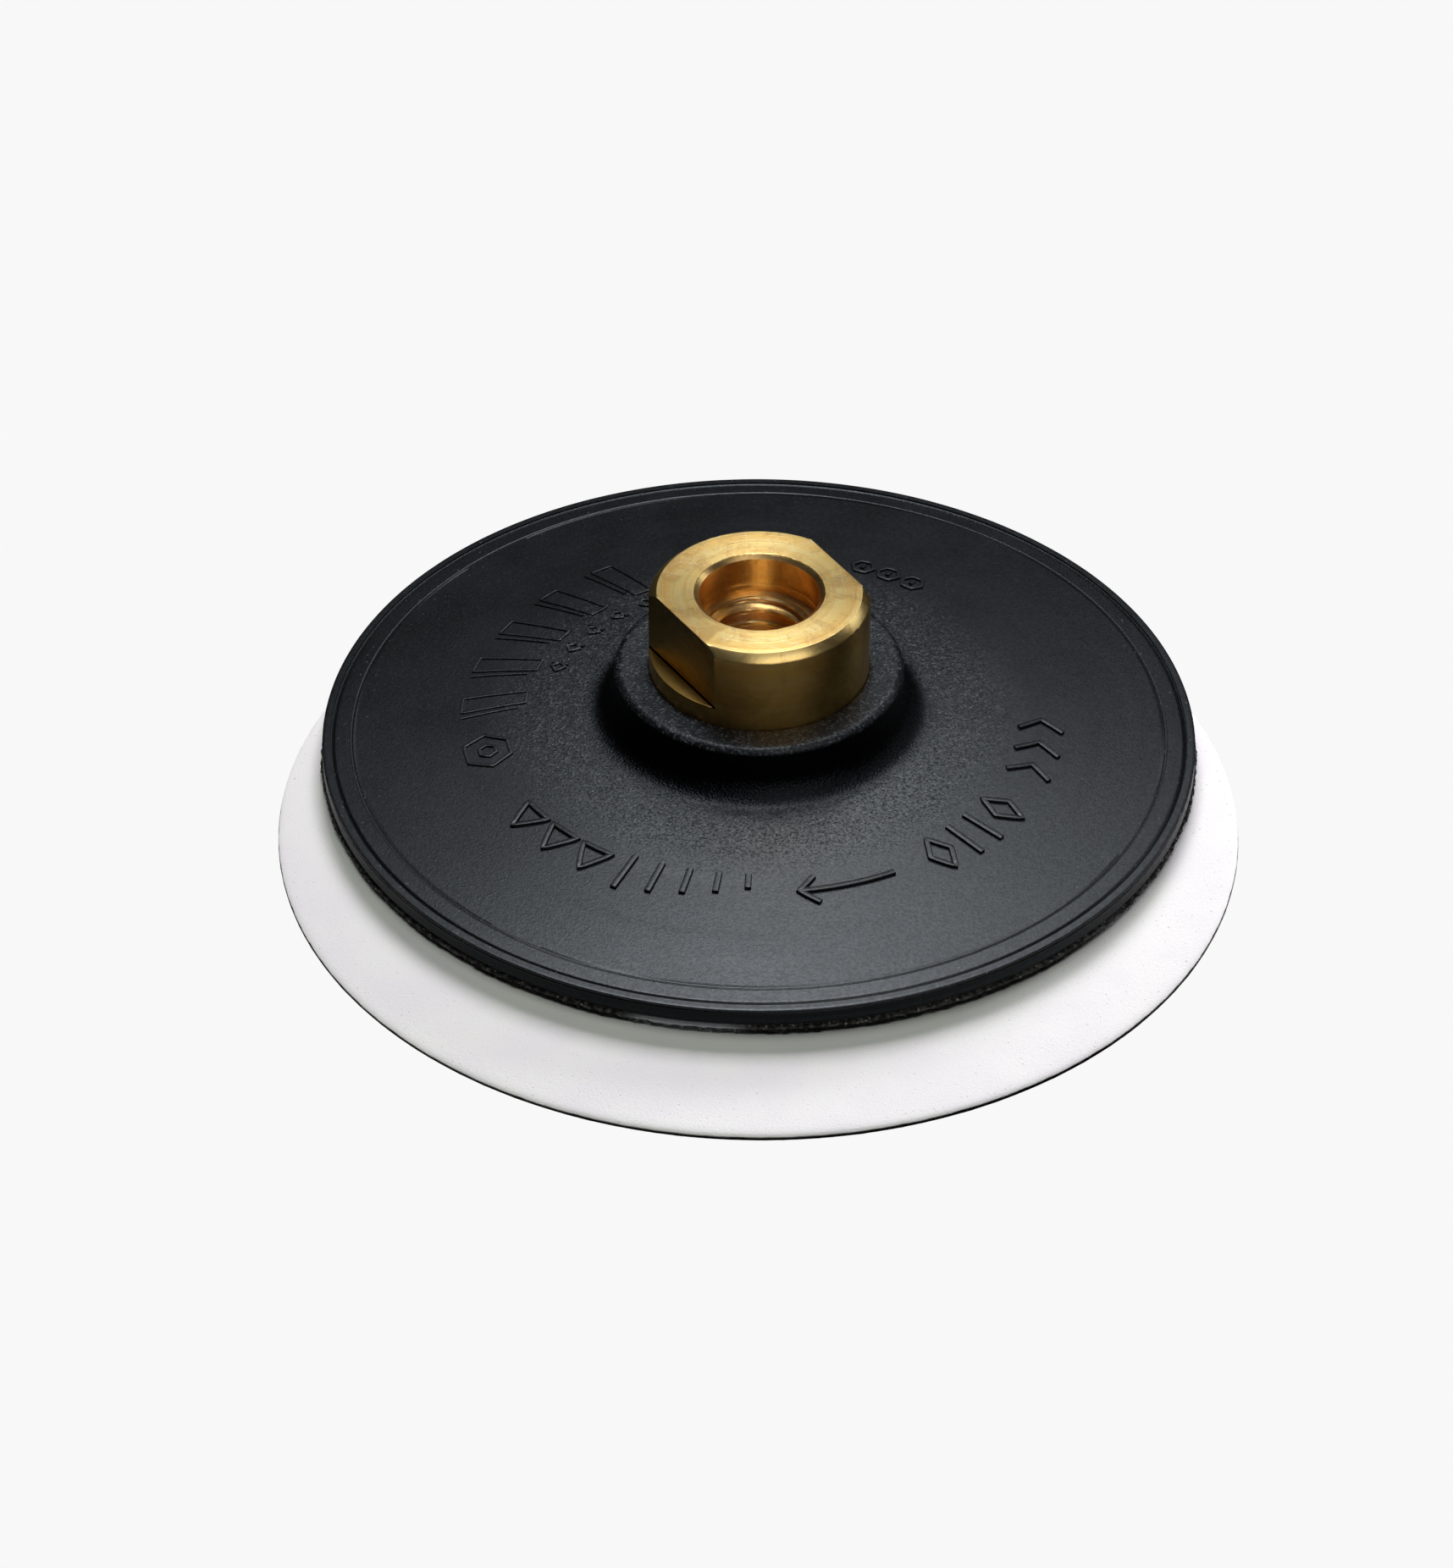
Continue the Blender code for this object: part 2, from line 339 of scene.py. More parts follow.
def scratch_effect():
    """Fine straight scratches in three directions, each broken up along its length."""
    sizes = {"Width": 0.00006, "Length": 0.003, "Amount": 0.3}
    tree, enter, leave = new_group("scratches", sizes, ["Mask"])
    point = object_point(tree)
    start = math_out(tree, "SUBTRACT", 0.80, times(tree, enter["Amount"], 0.2))
    total = None
    for turn in SCRATCH_TURNS:
        turned = add_node(
            tree, "ShaderNodeVectorRotate", {"Vector": point, "Angle": turn}, rotation_type="Z_AXIS",
        )
        x, y, z = split_point(tree, turned.outputs[0])
        along = math_out(tree, "DIVIDE", x, enter["Length"])
        across = math_out(tree, "DIVIDE", y, enter["Width"])
        up = math_out(tree, "DIVIDE", z, enter["Width"])
        drawn = add_node(tree, "ShaderNodeCombineXYZ", {0: along, 1: across, 2: up})
        lines = noise(tree, drawn.outputs[0], 1.0, 1.0)
        mask = smooth_range(tree, lines, start, math_out(tree, "ADD", start, 0.05))
        total = mask if total is None else math_out(tree, "MAXIMUM", total, mask)
    tree.links.new(total, leave["Mask"])
    return tree


def flat_effect():
    """Masks of the hub's wrench flats and of the corner where each meets its ledge, where a shadow line is
    painted.
    """
    tree, _, leave = new_group("wrench_flats", {}, ["Flat", "Corner"])
    point = object_point(tree)
    facing = (math.cos(FLAT_ANGLE), math.sin(FLAT_ANGLE), 0.0)
    reach = add_node(tree, "ShaderNodeVectorMath", {0: point, 1: facing}, operation="DOT_PRODUCT")
    out = math_out(tree, "ABSOLUTE", reach.outputs["Value"])
    height = split_point(tree, point)["Z"]

    def rising(value, base, low, high):
        return smooth_range(tree, value, base + low * MM, base + high * MM)

    def falling(value, base, low, high):
        return smooth_range(tree, value, base + low * MM, base + high * MM, 1.0, 0.0)

    beyond = rising(out, FLAT_HALF_WIDTH, -0.10, -0.04)
    plane = times(tree, beyond, falling(out, FLAT_HALF_WIDTH, 0.04, 0.10))
    tree.links.new(times(tree, plane, rising(height, FLAT_BOTTOM, 0.04, 0.08)), leave["Flat"])
    band = times(tree, falling(height, FLAT_BOTTOM, 0.14, 0.24), rising(height, FLAT_BOTTOM, -0.20, -0.10))
    edge = times(tree, beyond, falling(out, FLAT_HALF_WIDTH, 0.10, 0.22))
    tree.links.new(times(tree, edge, band), leave["Corner"])
    return tree


EFFECTS = {
    "zone": zone_effect(),
    "level": level_effect(),
    "grain": grain_effect(),
    "rings": turning_effect(),
    "flecks": fleck_effect(),
    "stains": stain_effect(),
    "scratches": scratch_effect(),
    "flats": flat_effect(),
}


# ---------------------------------------------------------------- materials


def effect(tree, name, **inputs):
    """Place a shared effect in a material and return its outputs."""
    made = tree.nodes.new("ShaderNodeGroup")
    made.node_tree = EFFECTS[name]
    for title, value in inputs.items():
        made.inputs[title.capitalize()].default_value = value
    return made.outputs


def zone(tree, inner, outer):
    return effect(tree, "zone", inner=inner * MM, outer=outer * MM)["Mask"]


def new_material(name):
    """A material with its tree and its Principled shader."""
    material = bpy.data.materials.new(name)
    material.use_nodes = True
    tree = material.node_tree
    return material, tree, tree.nodes["Principled BSDF"]


def set_inputs(tree, shader, values):
    for name, value in values.items():
        link_or_set(tree, shader.inputs[name], value)


def bump_out(tree, height, distance, strength, normal=None):
    """Bump of a height in mm, laid over the normal given."""
    values = {"Strength": strength, "Distance": distance * MM, "Height": height}
    made = add_node(tree, "ShaderNodeBump", values)
    if normal is not None:
        tree.links.new(normal, made.inputs["Normal"])
    return made.outputs["Normal"]


def plate_material():
    """Black glass-filled nylon: coarse sparkling grain on and round the boss, smoother outwards.

    The coat is the moulded skin's gloss. The grain breaks it up, and the rim's wall and the foot of the
    boss have none. Bright grain cells are painted glints, and the rim's wall and the foot of the boss are
    painted near black as painted shade.
    """
    material, tree, shader = new_material("black_moulded_nylon")
    coarse = effect(tree, "grain", cell=0.26 * MM, mottle=0.34 * MM)
    fine = effect(tree, "grain", cell=0.30 * MM, mottle=0.45 * MM)
    slow = effect(tree, "grain", cell=1.60 * MM, mottle=9 * MM)["Tone"]
    inward = inverse(tree, zone(tree, 27, 38))
    near_rim = zone(tree, 48, 55)
    # The rim's lower wall and the foot of the boss below are zones of painted shade in the base colour.
    above_wall = effect(tree, "level", low=RIM_LAND_Z - 0.26 * MM, high=RIM_LAND_Z - 0.16 * MM)["Mask"]
    wall = math_out(tree, "SUBTRACT", near_rim, above_wall, clamp=True)
    boss_edge = zone(tree, 18.88, 18.98)
    foot = math_out(tree, "SUBTRACT", boss_edge, zone(tree, 20.6, 23.6))
    boss_top = inverse(tree, boss_edge)
    dust = effect(tree, "flecks", cell=1.2 * MM, share=0.10, size=0.09)["Mask"]
    rim_dust = effect(tree, "flecks", cell=0.7 * MM, share=0.10, size=0.17)["Mask"]
    rim_dust = times(tree, times(tree, rim_dust, near_rim), 0.55)
    specks = math_out(tree, "MAXIMUM", times(tree, dust, 0.30), rim_dust)
    blush = effect(tree, "stains", size=9 * MM, amount=0.55)["Mask"]
    scuffs = effect(tree, "scratches", width=0.16 * MM, length=6 * MM, amount=0.35)["Mask"]

    tone = smooth_range(tree, slow, 0.3, 0.7)
    base = mix_colour(tree, tone, (0.0036, 0.0040, 0.0048, 1), (0.0056, 0.0062, 0.0074, 1))
    base = lay_over(
        tree, base,
        (blush, 0.4, (0.0105, 0.0112, 0.0125, 1)),
        # Painted glints: bright grain cells, stronger inward, stand in for light sparkling off the grain.
        (coarse["Painted Glint"], times(tree, inward, 0.75), (0.125, 0.130, 0.135, 1)),
        (fine["Painted Glint"], 0.16, (0.060, 0.064, 0.070, 1)),
        (scuffs, 0.12, (0.05, 0.05, 0.05, 1)),
        (specks, 1.0, (0.20, 0.20, 0.195, 1)),
        # Painted shade: the foot of the boss and the lower wall of the rim are painted near black, where
        # shade falls.
        (foot, 1.0, (0.0006, 0.0006, 0.0007, 1)),
        (wall, 0.85, (0.0008, 0.0008, 0.0009, 1)),
    )

    rough = smooth_range(tree, slow, 0.25, 0.75, 0.34, 0.41)
    for mask, change in ((inward, 0.04), (wall, -0.12), (foot, -0.10)):
        rough = math_out(tree, "ADD", rough, times(tree, mask, change))
    uneven = smooth_range(tree, coarse["Tone"], 0.34, 0.62, 0.12, 1.0)
    even = smooth_range(tree, fine["Tone"], 0.36, 0.64, 0.46, 0.70)
    dull = math_out(tree, "MAXIMUM", wall, foot)
    dull = math_out(tree, "MAXIMUM", dull, times(tree, boss_top, 0.55))
    coat = times(tree, mix_value(tree, inward, even, uneven), inverse(tree, dull))
    rings = effect(tree, "rings", pitch=0.55 * MM, patch=9 * MM)["Height"]
    normal = bump_out(tree, times(tree, coarse["Height"], inward), 0.12, 1.0)
    normal = bump_out(tree, fine["Height"], 0.06, 0.9, normal)
    normal = bump_out(tree, times(tree, rings, near_rim), 0.03, 0.8, normal)
    set_inputs(tree, shader, {
        "Base Color": base, "Roughness": rough, "Specular IOR Level": 0.20, "Normal": normal,
        "Specular Tint": (0.80, 0.89, 1.0, 1.0), "Coat Weight": coat, "Coat Roughness": 0.36,
        "Coat IOR": 1.5,
    })
    return material


def brass_material():
    """Turned brass: lathe rings, brown tarnish, bright scratches, a painted shadow line in the corner at
    each flat, and painted shade on the bore and the side wall.
    """
    material, tree, shader = new_material("turned_brass")
    rings = effect(tree, "rings", pitch=0.34 * MM, patch=3.2 * MM)
    flats = effect(tree, "flats")
    upper = effect(tree, "level", low=HUB_TOP - 1.3 * MM, high=HUB_TOP - 0.7 * MM)["Mask"]
    tarnish = effect(tree, "stains", size=5.0 * MM, amount=0.80)["Mask"]
    smears = effect(tree, "stains", size=2.4 * MM, amount=0.50)["Mask"]
    scratches = effect(tree, "scratches", width=0.16 * MM, length=5.0 * MM, amount=0.70)["Mask"]
    grain = effect(tree, "grain", cell=0.34 * MM, mottle=1.3 * MM)["Height"]
    outside = zone(tree, 8.1, 8.4)
    wall = math_out(tree, "SUBTRACT", outside, upper, clamp=True)

    streak = smooth_range(tree, rings["Tone"], 0.3, 0.7)
    base = mix_colour(tree, streak, (0.93, 0.585, 0.185, 1), (1.0, 0.745, 0.295, 1))
    base = lay_over(
        tree, base,
        (tarnish, 0.60, (0.66, 0.37, 0.120, 1)),
        (smears, 0.65, (0.46, 0.25, 0.080, 1)),
        (scratches, 0.35, (1.0, 0.92, 0.66, 1)),
        # Painted shade: the bore and its lip are painted darker and more orange, standing in for shade and
        # inter-reflection in the recess.
        (inverse(tree, outside), 0.35, (0.86, 0.48, 0.20, 1)),
        # Painted shade: the turned side wall is painted darker and more orange than the top.
        (wall, 0.55, (0.90, 0.52, 0.10, 1)),
        # Painted shadow: a near-black line in the corner where each flat meets its ledge.
        (flats["Corner"], 1.0, (0.010, 0.005, 0.002, 1)),
    )
    normal = bump_out(tree, times(tree, rings["Height"], inverse(tree, flats["Flat"])), 0.018, 0.9)
    normal = bump_out(tree, grain, 0.012, 0.7, normal)
    tangent = add_node(tree, "ShaderNodeTangent", direction_type="RADIAL", axis="Z")
    set_inputs(tree, shader, {
        "Base Color": base, "Metallic": 1.0, "Roughness": 0.32, "Normal": normal,
        "Anisotropic": 0.40, "Anisotropic Rotation": 0.25, "Tangent": tangent.outputs[0],
    })
    return material


def fibre_material(name, dark, light, roughness):
    """Nylon fibre or woven web, mottled from strand to strand, with one torn stretch painted paler, partly
    as painted light.
    """
    material, tree, shader = new_material(name)
    grain = effect(tree, "grain", cell=0.20 * MM, mottle=0.7 * MM)
    lint = effect(tree, "flecks", cell=0.5 * MM, share=0.30, size=0.30)["Mask"]
    away = add_node(
        tree, "ShaderNodeVectorMath", {0: object_point(tree), 1: TORN_AND_PAINTED_LIGHT_SPOT}, operation="DISTANCE",
    )
    torn = smooth_range(tree, away.outputs["Value"], 4 * MM, 9 * MM, 1.0, 0.0)
    base = lay_over(
        tree, mix_colour(tree, smooth_range(tree, grain["Tone"], 0.40, 0.68), dark, light),
        (lint, 0.55, (0.55, 0.50, 0.43, 1)),
        # Partly painted light: the torn stretch at the front of the cut edge is painted pale grey, as where
        # light falls on it.
        (torn, 0.8, (0.50, 0.51, 0.53, 1)),
    )
    set_inputs(tree, shader, {
        "Base Color": base, "Roughness": roughness, "Specular IOR Level": 0.25,
        "Normal": bump_out(tree, grain["Height"], 0.06, 0.8),
    })
    return material


def loop_material():
    """White brushed loop fabric with a soft sheen, faintly cooler and greyer in patches."""
    material, tree, shader = new_material("white_loop_velour")
    pile = effect(tree, "grain", cell=0.26 * MM, mottle=9 * MM)
    lint = effect(tree, "flecks", cell=2.4 * MM, share=0.06, size=0.05)["Mask"]
    tone = smooth_range(tree, pile["Tone"], 0.35, 0.65)
    base = lay_over(
        tree, mix_colour(tree, tone, (0.840, 0.825, 0.865, 1), (0.865, 0.860, 0.875, 1)),
        (smooth_range(tree, pile["Height"], 0.25, 0.75), 0.10, (0.72, 0.71, 0.74, 1)),
        (lint, 0.6, (0.45, 0.44, 0.42, 1)),
    )
    set_inputs(tree, shader, {
        "Base Color": base, "Roughness": 0.92, "Sheen Weight": 0.12, "Sheen Roughness": 0.5,
        "Specular IOR Level": 0.2, "Normal": bump_out(tree, pile["Height"], 0.05, 0.5),
    })
    return material


def mottled_material(name, dark, light, cell, mottle, roughness, bump, strength):
    """A plain mottled finish with the mould grain's bump, for paper, resin and glue. Sizes in mm."""
    material, tree, shader = new_material(name)
    grain = effect(tree, "grain", cell=cell * MM, mottle=mottle * MM)
    set_inputs(tree, shader, {
        "Base Color": mix_colour(tree, smooth_range(tree, grain["Tone"], 0.3, 0.7), dark, light),
        "Roughness": roughness, "Normal": bump_out(tree, grain["Height"], bump, strength),
    })
    return material


def paper_material():
    """Dark latex-soaked backing paper."""
    return mottled_material(
        "dark_backing_paper", (0.014, 0.018, 0.019, 1), (0.050, 0.056, 0.058, 1), 0.18, 2, 0.75, 0.03, 0.7,
    )


def resin_material():
    """Brown-black resin coat between the grains."""
    return mottled_material(
        "abrasive_resin", (0.045, 0.026, 0.018, 1), (0.095, 0.055, 0.036, 1), 0.20, 3, 0.55, 0.08, 0.9,
    )


def glue_material(name, dark, light):
    """Cured glue film: slightly cloudy, with a wavy surface."""
    return mottled_material(name, dark, light, 0.8, 6, 0.42, 0.05, 0.5)


def grain_material():
    """Fused oxide grains, from brown to grey, with glassy facets."""
    material, tree, shader = new_material("fused_oxide_grain")
    speckle = noise(tree, object_point(tree), 1 / (0.7 * MM), 2.0)
    tone = smooth_range(tree, speckle, 0.35, 0.65)
    base = mix_colour(tree, tone, (0.11, 0.060, 0.038, 1), (0.27, 0.17, 0.12, 1))
    set_inputs(tree, shader, {"Base Color": base, "Roughness": 0.28})
    return material


def by_camera_ray(tree, otherwise, seen):
    """Shader that the camera sees as one thing and the light as another."""
    path = tree.nodes.new("ShaderNodeLightPath")
    chosen = add_node(
        tree, "ShaderNodeMixShader", {0: path.outputs["Is Camera Ray"], 1: otherwise, 2: seen},
    )
    return chosen.outputs[0]


def floor_material():
    """Floor that the camera sees as even pale grey, and that throws little light back."""
    material, tree, shader = new_material("pale_floor")
    tree.nodes.remove(shader)
    even = add_node(tree, "ShaderNodeEmission", {"Color": BACKDROP})
    dim = add_node(tree, "ShaderNodeBsdfDiffuse", {"Color": (0.10, 0.10, 0.10, 1)})
    surface = by_camera_ray(tree, dim.outputs[0], even.outputs[0])
    tree.links.new(surface, tree.nodes["Material Output"].inputs["Surface"])
    return material


# ---------------------------------------------------------------- mesh helpers


def new_object(name, data):
    made = bpy.data.objects.new(name, data)
    bpy.context.scene.collection.objects.link(made)
    return made


def spread(count):
    """Angles evenly spaced round a full turn."""
    return np.arange(count) * 2 * math.pi / count


def revolved(name, rows, angles, centre_y=0.0, poles=False, sharp=40.0):
    """A closed body from rows of (radius, height), each a number or an array over the angles.

    Rows run once round the section. With poles, the first and last rows close in a point.
    """
    count = len(angles)
    radii = np.array([np.broadcast_to(np.asarray(r, float), count) for r, _ in rows])
    heights = np.array([np.broadcast_to(np.asarray(z, float), count) for _, z in rows])
    x = radii * np.cos(angles)
    y = radii * np.sin(angles) + centre_y
    points = np.stack([x, y, heights], axis=-1).reshape(-1, 3)
    column = np.arange(count)
    beside = (column + 1) % count
    faces = []
    spans = range(len(rows) - 1) if poles else range(len(rows))
    for row in spans:
        here, there = row * count, ((row + 1) % len(rows)) * count
        faces += np.stack([here + column, here + beside, there + beside, there + column], axis=1).tolist()
    points = points.tolist()
    if poles:
        for row, order in ((0, -1), (len(rows) - 1, 1)):
            tip = len(points)
            points.append([0.0, centre_y, float(heights[row].mean())])
            ring = row * count + column
            pairs = zip(ring.tolist(), (row * count + beside).tolist())
            faces += [[tip, a, b][::order] for a, b in pairs]
    mesh = bpy.data.meshes.new(name)
    mesh.from_pydata(points, [], faces)
    return finish_mesh(name, mesh, sharp)


def signed_volume(mesh):
    mesh.calc_loop_triangles()
    corners = np.zeros(len(mesh.loop_triangles) * 3, np.int32)
    mesh.loop_triangles.foreach_get("vertices", corners)
    points = np.zeros(len(mesh.vertices) * 3, np.float32)
    mesh.vertices.foreach_get("co", points)
    a, b, c = points.reshape(-1, 3)[corners.reshape(-1, 3)].astype(float).transpose(1, 0, 2)
    return float(np.einsum("ij,ij->i", a, np.cross(b, c)).sum())


def finish_mesh(name, mesh, sharp=40.0):
    """Turn the faces outwards, shade smooth with sharp edges kept, and make the object."""
    if signed_volume(mesh) < 0:
        mesh.flip_normals()
    mesh.shade_smooth()
    mesh.set_sharp_from_angle(angle=math.radians(sharp))
    return new_object(name, mesh)


def place(piece, body, slot, material, *nodes):
    """Give a finished piece its material and body, and hide the CAD nodes that it stands for. The slot is
    not used.
    """
    piece.data.materials.clear()
    piece.data.materials.append(material)
    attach(piece, body)
    if nodes:
        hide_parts(*nodes)
    return piece


def pieces_on(body):
    """Every piece and CAD node that moves with a body."""
    return [piece for piece in bpy.data.objects if piece.parent == frame["bodies"][body]]


def arc(centre, radius, start, end, steps):
    """Points on a round stretch of a section, between two angles in degrees."""
    turn = np.radians(np.linspace(start, end, steps + 1))
    return [(centre[0] + radius * math.cos(t), centre[1] + radius * math.sin(t)) for t in turn]


def ripple(angles, seed, *waves):
    """Unevenness round a ring: a sum of waves of (count, size) with seeded phases."""
    rng = np.random.default_rng(seed)
    total = np.zeros(len(angles))
    for count, size in waves:
        total += size * np.sin(count * angles + rng.uniform(0, 2 * math.pi))
    return total


# ---------------------------------------------------------------- geometry-node tools


def new_geometry_tree(name, inputs):
    """A geometry tree with named inputs of (title, socket type, default)."""
    tree = bpy.data.node_groups.new(name, "GeometryNodeTree")
    tree.interface.new_socket("Geometry", in_out="INPUT", socket_type="NodeSocketGeometry")
    for title, kind, value in inputs:
        socket = tree.interface.new_socket(title, in_out="INPUT", socket_type=kind)
        if value is not None:
            socket.default_value = value
    tree.interface.new_socket("Geometry", in_out="OUTPUT", socket_type="NodeSocketGeometry")
    return tree, tree.nodes.new("NodeGroupInput").outputs, tree.nodes.new("NodeGroupOutput").inputs


def finish_tree(tree, geometry, material, leave):
    """End a tree with real copies in one material."""
    real = add_node(tree, "GeometryNodeRealizeInstances", {"Geometry": geometry})
    dressed = add_node(tree, "GeometryNodeSetMaterial", {"Geometry": real.outputs[0], "Material": material})
    tree.links.new(dressed.outputs[0], leave["Geometry"])
    return tree


def scatter_tree():
    """Copies of one small piece on every point, each with its own size and tilt."""
    tree, enter, leave = new_geometry_tree("scatter_pieces", [
        ("Piece", "NodeSocketObject", None),
        ("Finish", "NodeSocketMaterial", None),
        ("Smallest", "NodeSocketFloat", 0.8),
        ("Largest", "NodeSocketFloat", 1.2),
        ("Tilt", "NodeSocketVector", (0.0, 0.0, 0.0)),
        ("Seed", "NodeSocketInt", 1),
    ])
    piece = add_node(tree, "GeometryNodeObjectInfo", {"Object": enter["Piece"]})
    heading = add_node(
        tree, "GeometryNodeInputNamedAttribute", {"Name": "heading"}, data_type="FLOAT_VECTOR",
    )
    back = add_node(
        tree, "ShaderNodeVectorMath", {0: enter["Tilt"], 1: (-1.0, -1.0, -1.0)}, operation="MULTIPLY",
    )
    sway = add_node(
        tree, "FunctionNodeRandomValue",
        {"Min": back.outputs[0], "Max": enter["Tilt"], "Seed": enter["Seed"]}, data_type="FLOAT_VECTOR",
    )
    turn = add_node(
        tree, "ShaderNodeVectorMath", {0: heading.outputs[0], 1: sway.outputs[0]}, operation="ADD",
    )
    size = add_node(
        tree, "FunctionNodeRandomValue",
        {2: enter["Smallest"], 3: enter["Largest"], "Seed": enter["Seed"]}, data_type="FLOAT",
    )
    copies = add_node(tree, "GeometryNodeInstanceOnPoints", {
        "Points": enter["Geometry"], "Instance": piece.outputs["Geometry"],
        "Rotation": turn.outputs[0], "Scale": size.outputs[1],
    })
    return finish_tree(tree, copies.outputs[0], enter["Finish"], leave)


def sweep_tree():
    """A raised line of rounded section along every spline, standing on the surface it follows."""
    tree, enter, leave = new_geometry_tree("raised_lines", [
        ("Width", "NodeSocketFloat", 0.0006),
        ("Depth", "NodeSocketFloat", 0.0006),
        ("Corner", "NodeSocketFloat", 0.0001),
        ("Finish", "NodeSocketMaterial", None),
    ])
    upright = add_node(tree, "GeometryNodeSetCurveNormal", {"Curve": enter["Geometry"]}, mode="Z_UP")
    section = add_node(
        tree, "GeometryNodeCurvePrimitiveQuadrilateral",
        {"Width": enter["Width"], "Height": enter["Depth"]},
    )
    rounded = add_node(
        tree, "GeometryNodeFilletCurve",
        {"Curve": section.outputs[0], "Radius": enter["Corner"], "Count": 3}, mode="POLY",
    )
    swept = add_node(tree, "GeometryNodeCurveToMesh", {
        "Curve": upright.outputs[0], "Profile Curve": rounded.outputs[0], "Fill Caps": True,
    })
    return finish_tree(tree, swept.outputs[0], enter["Finish"], leave)


def run_tree(name, source, tree, values):
    """Run a geometry tree on a source object and return the result as a plain mesh object."""
    modifier = source.modifiers.new(tree.name, "NODES")
    modifier.node_group = tree
    sockets = {s.name: s.identifier for s in tree.interface.items_tree if s.in_out == "INPUT"}
    for title, value in values.items():
        modifier[sockets[title]] = value
    bpy.context.view_layer.update()
    graph = bpy.context.evaluated_depsgraph_get()
    mesh = bpy.data.meshes.new_from_object(source.evaluated_get(graph))
    mesh.name = name
    source.modifiers.remove(modifier)
    bpy.data.objects.remove(source)
    return finish_mesh(name, mesh)


def point_cloud(points, headings):
    """A mesh of loose points, each with a heading that the scatter tree reads."""
    mesh = bpy.data.meshes.new("points")
    mesh.from_pydata([tuple(p) for p in points], [], [])
    attribute = mesh.attributes.new("heading", "FLOAT_VECTOR", "POINT")
    attribute.data.foreach_set("vector", np.asarray(headings, np.float32).ravel())
    return new_object("points", mesh)


def scatter(name, points, headings, prototype, material, sizes, tilt, seed):
    """Copies of a prototype on the points, which uses the prototype up."""
    made = run_tree(name, point_cloud(points, headings), SCATTER, {
        "Piece": prototype, "Finish": material, "Smallest": sizes[0], "Largest": sizes[1],
        "Tilt": tilt, "Seed": seed,
    })
    bpy.data.objects.remove(prototype)
    return made


SCATTER = scatter_tree()
SWEEP = sweep_tree()


def bent_tube(name, path, radii, sides):
    """A small closed tube along a few points in the XZ plane, for fibres, hooks and loops."""
    rings = []
    turns = spread(sides)
    points = np.asarray(path, float)
    for i, (x, z) in enumerate(points):
        ahead = points[min(i + 1, len(points) - 1)] - points[max(i - 1, 0)]
        ahead /= np.linalg.norm(ahead)
        across = np.array([ahead[1], -ahead[0]])
        out = radii[i] * np.cos(turns)
        side = radii[i] * np.sin(turns)
        rings.append(list(zip(x + out * across[0], side, z + out * across[1])))
    vertices = [p for ring in rings for p in ring]
    faces = []
    for row in range(len(rings) - 1):
        for i in range(sides):
            j = (i + 1) % sides
            a, b = row * sides, (row + 1) * sides
            faces.append((a + i, a + j, b + j, b + i))
    faces.append(tuple(reversed(range(sides))))
    faces.append(tuple(range((len(rings) - 1) * sides, len(rings) * sides)))
    mesh = bpy.data.meshes.new(name)
    mesh.from_pydata(vertices, [], faces)
    return finish_mesh(name, mesh, 60.0)


# ---------------------------------------------------------------- backing plate


def cone_height(radius):
    """Height of the plate's slightly domed cone."""
    share = (radius - PLATE_FOOT) / (CONE_RADIUS - PLATE_FOOT)
    return CONE_Z + CONE_SLOPE * (CONE_RADIUS - radius) + 4 * PLATE_DOME * share * (1 - share)


def plate_surface(radius):
    """Height of the plate's upper face, with its fine grooves near the rim."""
    height = cone_height(min(radius, CONE_RADIUS)) - RIM_FALL * max(0.0, radius - CONE_RADIUS)
    for groove, half, depth in RIM_GROOVES:
        height -= depth * math.exp(-(((radius - groove) / half) ** 2))
    return height


